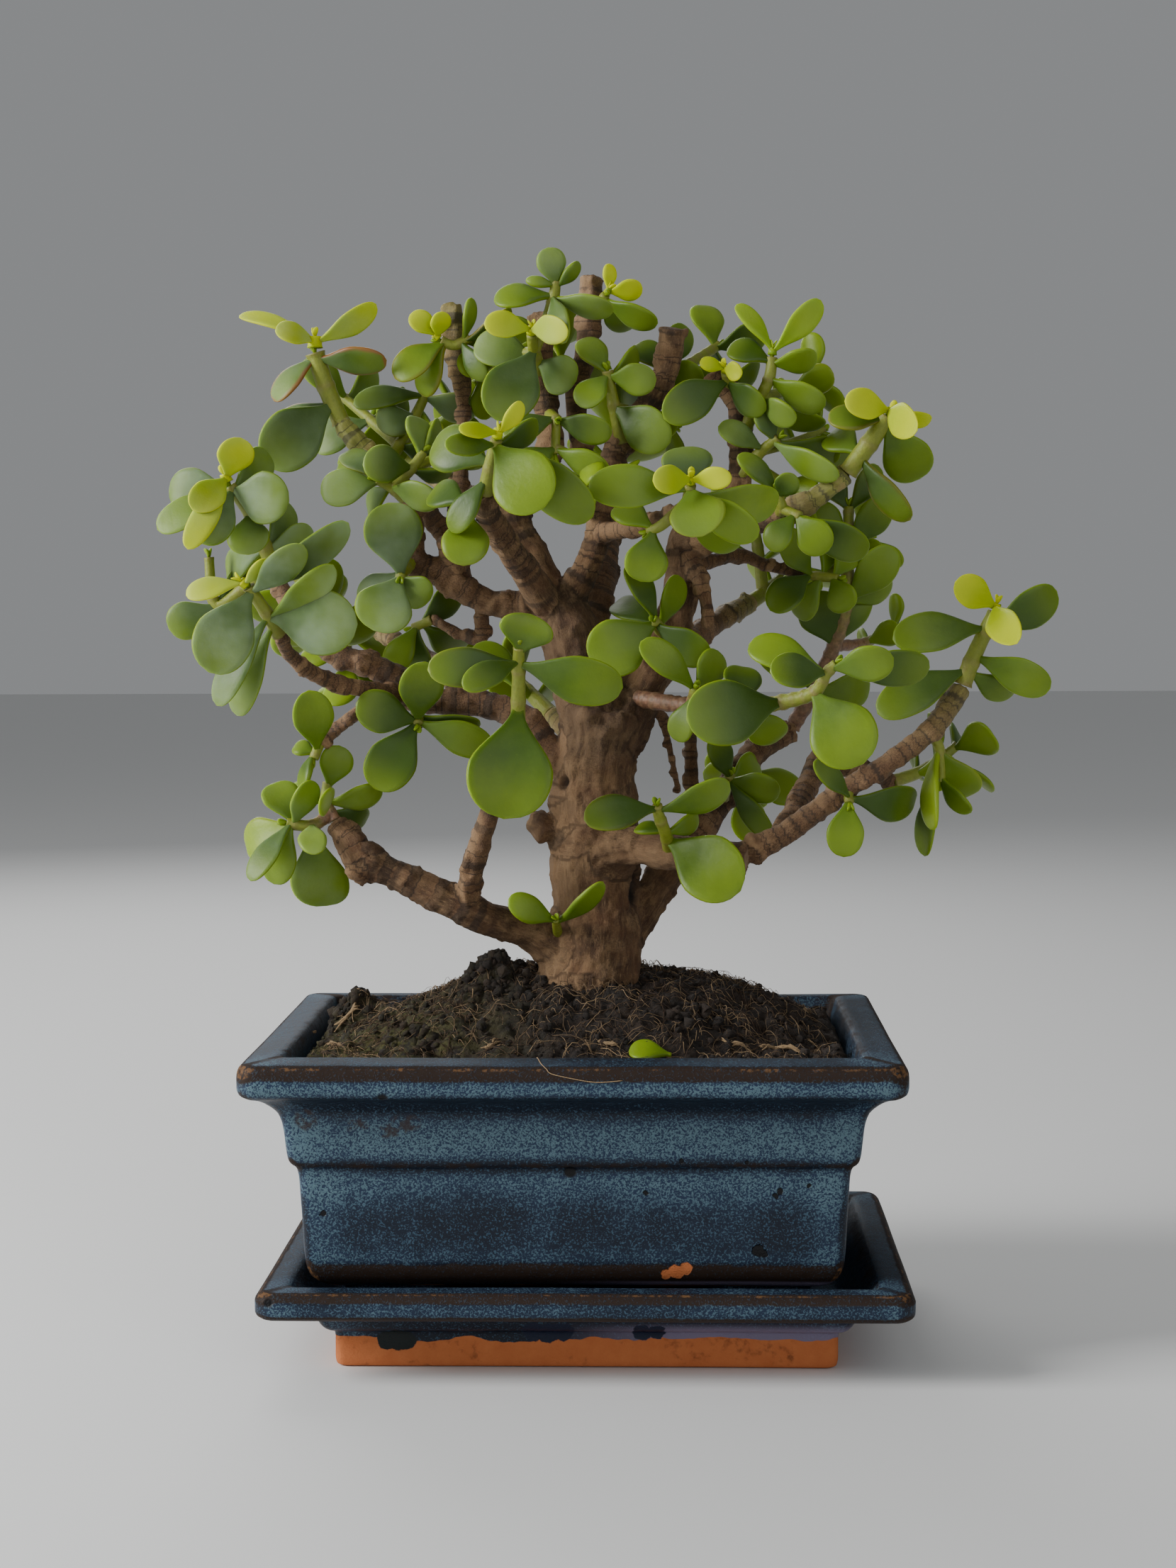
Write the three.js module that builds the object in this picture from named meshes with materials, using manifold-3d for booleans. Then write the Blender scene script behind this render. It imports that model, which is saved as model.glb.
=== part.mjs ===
// A dwarf jade bonsai in a glazed rectangular pot that stands on its own glazed saucer.
// Millimetres, +Z up, X along the pot's front, Y away from the viewer.
// The origin is on the surface that the saucer stands on, below the middle of the pot.
import * as THREE from "three";
import { mergeVertices } from "three/addons/utils/BufferGeometryUtils.js";
import Module from "manifold-3d";

const wasm = await Module();
wasm.setup();

// Driving dimensions. Heights count from FOOT_REACH above the surface that the saucer stands on.
const GAP = 0.3; // left between pieces that rest on each other
const POT_WIDTH = 157;
const POT_DEPTH = 115;
const POT_HEIGHT = 75.4;
const POT_BASE = 18; // underside of the pot's body
const POT_CORNER = 5;
const POT_FLOOR = 24;
const FOOT_SIZE = [26, 20, 11];
const FOOT_INSET = 21.5; // from the rim's outline to the feet
const DRAIN_RADIUS = 6;
const DRAIN_SPACING = 64;
const SAUCER_WIDTH = 156;
const SAUCER_DEPTH = 108;
const FOOT_REACH = 2.6; // how far the saucer's foot reaches below height 0
const SAUCER_HEIGHT = 19.8;
const SAUCER_FLOOR = 9.6;
const SAUCER_SHIFT = 2.6; // the saucer sits a little to the right of the pot
const SAUCER_CORNER = 5;
const SOIL_EDGE = 73;
const SOIL_PEAK = 89.5;
const TREE_SHIFT = 1.4; // the tree's tables start a little to the right of the pot's middle
const HOLE_CLEARANCE = 0.35;
const CORNER_STEPS = 3; // points round each corner of the pot and saucer
const TRUNK_SIDES = 8;
const LIMB_SIDES = 5;
const STEM_SIDES = 4;
const LEAF_SIDES = 6;
const LEAF_THICKNESS = 1.9;
const YOUNG_THICKNESS = 1.3;
const LEAF_ARCH = 0.07; // height of a blade's arch as a share of its length

// The tree's tables give places as seen from the front: x and z on the upright plane through
// the trunk, and y as the real distance behind that plane. EYE is the point they are seen from.
const EYE = new THREE.Vector3(21.9, -608, 176);

// Turns a place as seen from the front into a real place.
function seen(x, z, y) {
  const depth = (y - EYE.y) / -EYE.y;
  return new THREE.Vector3(x + TREE_SHIFT, 0, z).sub(EYE).multiplyScalar(depth).add(EYE);
}

// A size as seen at depth y, as a real size.
function seenSize(size, y) {
  return (size * (y - EYE.y)) / -EYE.y;
}

// A repeatable run of numbers from 0 to 1.
function seededRandom(seed) {
  let state = seed;
  return () => {
    state = (state * 48271) % 2147483647;
    return state / 2147483647;
  };
}

// Solids

function solidOf(geometry) {
  const bare = new THREE.BufferGeometry();
  const flat = geometry.index ? geometry.toNonIndexed() : geometry;
  bare.setAttribute("position", flat.getAttribute("position"));
  const merged = mergeVertices(bare, 1e-3);
  const mesh = new wasm.Mesh({
    numProp: 3,
    vertProperties: new Float32Array(merged.attributes.position.array),
    triVerts: new Uint32Array(merged.index.array),
  });
  return new wasm.Manifold(mesh);
}

function geometryOf(solid) {
  const mesh = solid.getMesh();
  const geometry = new THREE.BufferGeometry();
  const positions = new Float32Array(mesh.numVert * 3);
  for (let i = 0; i < mesh.numVert; i++) {
    positions.set(mesh.vertProperties.subarray(i * mesh.numProp, i * mesh.numProp + 3), i * 3);
  }
  geometry.setAttribute("position", new THREE.BufferAttribute(positions, 3));
  geometry.setIndex(new THREE.BufferAttribute(mesh.triVerts, 1));
  geometry.computeVertexNormals();
  return geometry;
}

function meshOf(name, solid, material) {
  const mesh = new THREE.Mesh(geometryOf(solid.translate([0, 0, FOOT_REACH])), material);
  mesh.name = name;
  return mesh;
}

// Moves every vertex of a geometry to where the given function says.
function reshape(geometry, place) {
  const position = geometry.getAttribute("position");
  const point = new THREE.Vector3();
  for (let i = 0; i < position.count; i++) {
    point.fromBufferAttribute(position, i);
    place(point);
    position.setXYZ(i, point.x, point.y, point.z);
  }
  return geometry;
}

// A rectangular vessel: a lathe's turned profile, pushed out to a rectangle with round corners.
// The profile gives each ring's inset from the outline and its height, and null is the centre.
function squaredLathe(width, depth, corner, profile, cornerSteps = CORNER_STEPS) {
  const sides = 4 * cornerSteps;
  const reach = depth / 2;
  const centreInset = reach;
  const points = profile.map(([inset, z]) => new THREE.Vector2(reach - (inset ?? centreInset), z));
  const geometry = new THREE.LatheGeometry(points, sides);
  return reshape(geometry, (point) => {
    const radius = Math.hypot(point.x, point.z);
    const z = point.y;
    if (radius < 1e-6) {
      point.set(0, 0, z);
      return;
    }
    const inset = reach - radius;
    const turn = (Math.atan2(point.x, point.z) + 2 * Math.PI) % (2 * Math.PI);
    const index = Math.round((turn / (2 * Math.PI)) * sides) % sides;
    const quarter = Math.floor(index / cornerSteps);
    const share = (index % cornerSteps) / (cornerSteps - 1);
    const round = Math.max(corner - inset, 1);
    const angle = ((quarter + share) * Math.PI) / 2;
    const right = quarter === 0 || quarter === 3 ? 1 : -1;
    const back = quarter < 2 ? 1 : -1;
    point.set(
      right * (width / 2 - inset - round) + round * Math.cos(angle),
      back * (depth / 2 - inset - round) + round * Math.sin(angle),
      z,
    );
  });
}

// A limb that tapers: a closed cylinder bent along a smooth curve through the given places.
function limb(rows, sides, steps, place = seen) {
  const points = rows.map(([x, z, y]) => place(x, z, y));
  const radii = rows.map(([, , y, radius]) => (place === seen ? seenSize(radius, y) : radius));
  const curve = new THREE.CatmullRomCurve3(points, false, "centripetal");
  const segments = (rows.length - 1) * steps;
  const rings = [];
  let side = new THREE.Vector3(0, 1, 0.3);
  for (let i = 0; i <= segments; i++) {
    const at = i / segments;
    const along = curve.getTangent(at);
    side = side.clone().addScaledVector(along, -side.dot(along)).normalize();
    const row = Math.min(Math.floor(i / steps), rows.length - 2);
    const radius = THREE.MathUtils.lerp(radii[row], radii[row + 1], i / steps - row);
    rings.push({ centre: curve.getPoint(at), side, across: along.clone().cross(side), radius });
  }
  const tube = new THREE.CylinderGeometry(1, 1, 1, sides, segments);
  reshape(tube, (point) => {
    const ring = rings[Math.round((point.y + 0.5) * segments)];
    const { x, z } = point;
    point.copy(ring.centre);
    point.addScaledVector(ring.side, -x * ring.radius);
    point.addScaledVector(ring.across, z * ring.radius);
  });
  return solidOf(tube);
}

// Pot and saucer

function makeSaucer() {
  const foot = 17.2;
  const body = 15.2;
  const profile = [
    [null, -FOOT_REACH],
    [foot + 0.8, -FOOT_REACH],
    [foot, 1.2 - FOOT_REACH],
    [foot, 6.4],
    [body, 6.8],
    [12.2, 12.4],
    [1.6, 13.2],
    [0, 14.6],
    [0, SAUCER_HEIGHT - 1.2],
    [1.2, SAUCER_HEIGHT],
    [7.4, SAUCER_HEIGHT + 0.4],
    [8.6, SAUCER_HEIGHT - 0.8],
    [15, SAUCER_FLOOR + 0.8],
    [17, SAUCER_FLOOR],
    [null, SAUCER_FLOOR],
  ];
  const solid = solidOf(squaredLathe(SAUCER_WIDTH, SAUCER_DEPTH, SAUCER_CORNER, profile));
  return solid.translate([SAUCER_SHIFT, 0, 0]);
}

function makePot() {
  const profile = [
    [null, POT_BASE],
    [19, POT_BASE],
    [15.8, POT_BASE + 2.2],
    [14.4, POT_BASE + 5.5],
    [13.5, 36],
    [13, 45],
    [12.4, 48.2],
    [11.2, 49],
    [10.5, 51.5],
    [9.8, 58],
    [8.2, 62.6],
    [4.8, 65.6],
    [1.2, 66.6],
    [0, 68],
    [0, 73],
    [1, 74.2],
    [9.2, POT_HEIGHT],
    [10.4, POT_HEIGHT - 1],
    [12.4, 66],
    [17.4, 52],
    [18.6, POT_FLOOR + 3],
    [21.6, POT_FLOOR],
    [null, POT_FLOOR],
  ];
  let solid = solidOf(squaredLathe(POT_WIDTH, POT_DEPTH, POT_CORNER, profile));
  const [footWidth, footDepth, footHeight] = FOOT_SIZE;
  const footProfile = [
    [null, 0],
    [1.5, 0],
    [0, 2],
    [0, footHeight],
    [null, footHeight],
  ];
  const footX = POT_WIDTH / 2 - FOOT_INSET - footWidth / 2;
  const footY = POT_DEPTH / 2 - FOOT_INSET - footDepth / 2;
  for (const side of [-1, 1]) {
    for (const end of [-1, 1]) {
      const foot = solidOf(squaredLathe(footWidth, footDepth, 5, footProfile));
      solid = solid.add(foot.translate([side * footX, end * footY, SAUCER_FLOOR + GAP]));
    }
    const drain = new THREE.CylinderGeometry(DRAIN_RADIUS, DRAIN_RADIUS, 20, 12).rotateX(Math.PI / 2);
    drain.translate((side * DRAIN_SPACING) / 2, 0, POT_FLOOR - 4);
    solid = solid.subtract(solidOf(drain));
  }
  return solid;
}

// The mound of soil, highest behind the trunk's foot, with clods on its left side.
function soilHeight(x, y) {
  const reach = Math.hypot(x / 66, (y - 6) / 48);
  const mound = (SOIL_PEAK - SOIL_EDGE) * Math.max(0, 1 - reach ** 1.9);
  const clods = [
    [-24, -2, 7, 3.2],
    [-56, 8, 9, 6],
    [40, 10, 16, 2],
    [-38, -24, 12, 1.6],
    [22, -30, 13, 1.8],
  ];
  let height = SOIL_EDGE + mound;
  for (const [cx, cy, size, rise] of clods) {
    const away = (x - cx) ** 2 + (y - cy) ** 2;
    height += rise * Math.exp(-away / size ** 2);
  }
  return height;
}

function makeSoil(trunkHole) {
  const insets = [13, 18, 25, 32, 40, 49];
  const side = [
    [null, POT_FLOOR + GAP],
    [22.2, POT_FLOOR + GAP],
    [19, POT_FLOOR + 3.2],
    [17.8, 52],
    [12.8, 66],
    [11.8, SOIL_EDGE - 2.2],
  ];
  const top = insets.map((inset) => [inset, SOIL_EDGE]);
  const profile = [...side, ...top, [null, SOIL_EDGE]];
  const geometry = squaredLathe(POT_WIDTH, POT_DEPTH, POT_CORNER + 3, profile, 5);
  reshape(geometry, (point) => {
    if (point.z > SOIL_EDGE - 0.5) point.z = soilHeight(point.x, point.y);
  });
  return solidOf(geometry).subtract(trunkHole);
}

// Trunk and branches, each a row of places as seen from the front: x, z, y, radius.

const TRUNK_FOOT = [
  [0, 70, 0, 9.5],
  [0, 86, 0, 13.6],
];

const TRUNK = [
  [0, 84, 0, 13.4],
  [2, 93, 0, 12.6],
  [3, 104, 0, 11.2],
  [2.6, 117, 0, 11],
  [2.4, 128, 0, 11.4],
  [2.8, 139, 0, 10.2],
  [4, 148, 0, 10.4],
  [5, 155, 0, 10.6],
];

const BRANCHES = {
  leftKnob: [
    [-4, 125.6, -3, 3.4],
    [-10.4, 126.4, -4.4, 3],
    [-13.2, 127.8, -5, 1.9],
  ],
  leftLeader: [
    [4, 150, 0, 8.6],
    [0, 163, 0, 8],
    [-3, 173, 0, 7.6],
    [-6, 182, 0, 6.6],
  ],
  leftArm: [
    [-8, 181, 0, 4],
    [-22, 182, 0, 3.4],
    [-31, 186, -1, 3.2],
    [-37, 190, -1, 3.2],
    [-43, 193, -2, 3.6],
    [-43, 201, -3, 2.9],
    [-43.5, 208, -4, 2.6],
  ],
  topLeftArm: [
    [-30, 186, 1, 2.8],
    [-34, 198, 5, 2.6],
    [-44, 210, 6, 2.6],
    [-51, 216, 5, 2.6],
    [-57, 223, 4, 2.6],
    [-60.5, 227.4, 4, 2.4],
  ],
  leftArmStub: [
    [-31, 188, 0, 2.6],
    [-34, 199, -3, 3.1],
  ],
  leftArmTwig: [
    [-26, 183, 4, 1.8],
    [-26, 173, 6, 1.5],
    [-38, 178, 9, 1.3],
  ],
  innerLeft: [
    [-7, 180, 0, 5.6],
    [-13, 194, 2, 4.4],
    [-17, 204, 4, 3.9],
    [-12, 214, 5, 3.4],
    [-8, 222, 5, 3.2],
    [-9.6, 234, 5, 3],
    [-10.4, 254, 4, 3.1],
  ],
  frontLeft: [
    [-9, 182, -3, 4.2],
    [-18, 195, -17, 3.5],
    [-23.5, 204, -29, 3.3],
    [-24.6, 209, -34, 3.2],
  ],
  innerRight: [
    [-5, 181, 0, 4.4],
    [1, 191, -1, 3.6],
    [4, 200, -1, 3.4],
    [6, 210, 2, 3.3],
    [8, 219, 5, 3.5],
    [12.6, 226, 5, 3.6],
    [16.4, 231, 4, 3.2],
    [21, 240, 2, 3.1],
    [22.6, 250.4, 0, 3.2],
  ],
  innerRightTwig: [
    [4, 199.5, -2, 2.6],
    [12, 201, -12, 2.4],
    [20, 203, -24, 2.2],
    [26, 206, -32, 2],
  ],
  topPost: [
    [5, 207, 3, 3],
    [0, 221, 10, 2.6],
    [-1.6, 234, 12, 2.6],
    [1, 245, 12, 2.7],
    [2.6, 263.4, 12, 3],
  ],
  leftPost: [
    [-33, 195, 4, 3],
    [-31, 209, 10, 2.2],
    [-30, 228, 12, 1.5],
    [-30.4, 236, 11, 2],
    [-31.4, 244, 10, 3],
    [-32.6, 256.6, 9, 2.8],
  ],
  rightLeader: [
    [8, 148, 0, 8],
    [13, 158, 2, 6.2],
    [17, 166, 2, 5.3],
    [22, 175, 2, 4.8],
    [25, 187, 2, 4.2],
    [26, 198, 2, 4.1],
    [32, 203, 4, 3.8],
    [38.6, 210, 5, 3.2],
    [39.8, 224, 4, 3],
    [38, 233, 3, 2.5],
    [32, 239, 2, 2.5],
  ],
  rightLeaderTwig: [
    [27, 193, -1, 2.4],
    [30, 186, -6, 1.9],
    [32, 176, -8, 1.5],
  ],
  rightShelf: [
    [25, 192, 3, 3],
    [32, 192.4, 9, 2],
    [39, 194, 14, 1.7],
    [46, 191.5, 16, 1.5],
    [55, 189, 17, 1.3],
  ],
  upperRight: [
    [26, 197, 1, 3.8],
    [42, 201.6, -3, 3],
    [55, 206, -5, 2.7],
    [66, 214, -6, 2.5],
  ],
  lowRight: [
    [2, 120, -2, 7],
    [13.6, 120.4, -12, 4.6],
    [22.5, 119, -17, 4.5],
    [31.5, 118, -20, 4.3],
    [41, 117, -22, 4],
  ],
  lowRightArm: [
    [37, 117.4, -20, 3.2],
    [49.4, 123, -20, 2.9],
    [58.4, 129.4, -20, 2.7],
    [65.5, 134.8, -20, 2.6],
    [72.7, 139, -20, 2.5],
    [83.4, 146.4, -18, 2.6],
    [90.6, 153.6, -16, 2.6],
    [95, 160.6, -14, 2.5],
  ],
  buttress: [
    [10, 98, 3, 5.6],
    [16, 107, 5, 4.6],
    [21, 114, 8, 4.2],
    [32.6, 129, 16, 3.6],
    [42, 143, 24, 3.2],
    [52, 150, 31, 2.8],
  ],
  buttressPost: [
    [29, 124, 14, 2.2],
    [27.6, 134, 15, 1.9],
    [27, 145, 16, 1.7],
    [27, 156, 17, 1.4],
  ],
  hangingTwig: [
    [18, 157, 4, 1.5],
    [20.6, 150, 5, 1],
    [22.4, 142, 6, 0.9],
    [24, 134, 7, 0.9],
  ],
  darkRear: [
    [49, 122.6, -19, 2.4],
    [53, 129, -6, 2.6],
    [57, 137, 8, 3],
    [60, 142, 14, 3],
    [68, 140.6, 18, 2.4],
    [78, 137, 22, 1.8],
  ],
  lowLeft: [
    [-2, 93, 0, 8],
    [-12, 98.6, -5, 5.2],
    [-22, 101.4, -10, 4.6],
    [-29.4, 104.4, -13, 4.3],
    [-40, 109.8, -15, 3.9],
    [-51, 115, -16, 4],
    [-56.6, 117.6, -16, 4.6],
    [-59.5, 122, -15, 4],
    [-63, 126.6, -13, 2.6],
  ],
  lowLeftStub: [
    [-55, 119, -16, 4],
    [-58.5, 112.5, -18, 3.4],
  ],
  frontPost: [
    [-30, 104.4, -13, 3.3],
    [-28.6, 114, -18, 2.9],
    [-26.6, 121, -22, 3],
    [-24, 129, -25, 2.4],
    [-20, 141, -30, 2],
    [-16.6, 151, -35, 1.8],
  ],
  midLeft: [
    [-1, 139, 0, 5],
    [-9, 145, -1, 4.2],
    [-14, 152, -1, 3.6],
    [-24, 156.4, -1, 3.4],
    [-42, 158, -3, 3.2],
    [-47, 163, -5, 3.2],
    [-53, 166.4, -7, 3.2],
    [-63, 169.8, -9, 3],
    [-71, 178, -8, 2.6],
    [-77, 187, -7, 2.2],
  ],
  ringedTwig: [
    [-43, 158.6, -4, 2.4],
    [-52, 160, -12, 2.2],
    [-60, 161.6, -17, 2.1],
    [-68, 164.4, -22, 2],
    [-74, 169, -30, 1.8],
    [-77, 174, -38, 1.7],
  ],
  droopTwig: [
    [-49, 158.8, -10, 2.2],
    [-58, 154, -13, 1.8],
    [-66.6, 147.6, -15, 1.9],
  ],
  backLow: [
    [6, 128, 4, 5.4],
    [4, 136, 18, 4],
    [0, 146, 32, 3.2],
    [-8, 154, 44, 2.6],
  ],
  backRight: [
    [12, 157, 5, 4.6],
    [22, 168, 18, 3.8],
    [32, 176, 32, 3],
    [42, 182, 44, 2.4],
  ],
  backMiddle: [
    [0, 170, 3, 4.6],
    [4, 184, 16, 3.8],
    [6, 198, 30, 3.2],
    [6, 210, 42, 2.6],
  ],
  backLeft: [
    [-14, 195, 6, 4],
    [-22, 203, 20, 3.2],
    [-30, 210, 34, 2.6],
    [-38, 214, 46, 2.2],
  ],
  backFarLeft: [
    [-24, 156.4, 1, 3],
    [-34, 164, 16, 2.6],
    [-46, 172, 30, 2.2],
    [-56, 178, 40, 1.9],
  ],
};

// The trunk with its branches, made thicker all round by the given amount.
function makeTrunk(extra = 0) {
  const grown = (rows) => rows.map(([x, z, y, radius]) => [x, z, y, radius + extra]);
  const limbs = Object.values(BRANCHES).map((rows) => limb(grown(rows), LIMB_SIDES, 1));
  const stock = [TRUNK_FOOT, TRUNK].map((rows) => limb(grown(rows), TRUNK_SIDES, 1));
  return wasm.Manifold.union([...stock, ...limbs]).simplify(SMALLEST_EDGE);
}

// The plain hole in the soil that the trunk's foot stands in.
function makeTrunkHole() {
  const hole = makeTrunk(HOLE_CLEARANCE);
  return hole.add(hole.translate([0, 0, -GAP]));
}

// Leafy shoots, as seen from the front. A stem is a row of places: x, z, y, radius.
// A leaf is: place of the stem it grows from, then its tip's x, z, y, its width and its turn in
// degrees away from facing the viewer. A young shoot's stem ends at "to".

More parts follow.
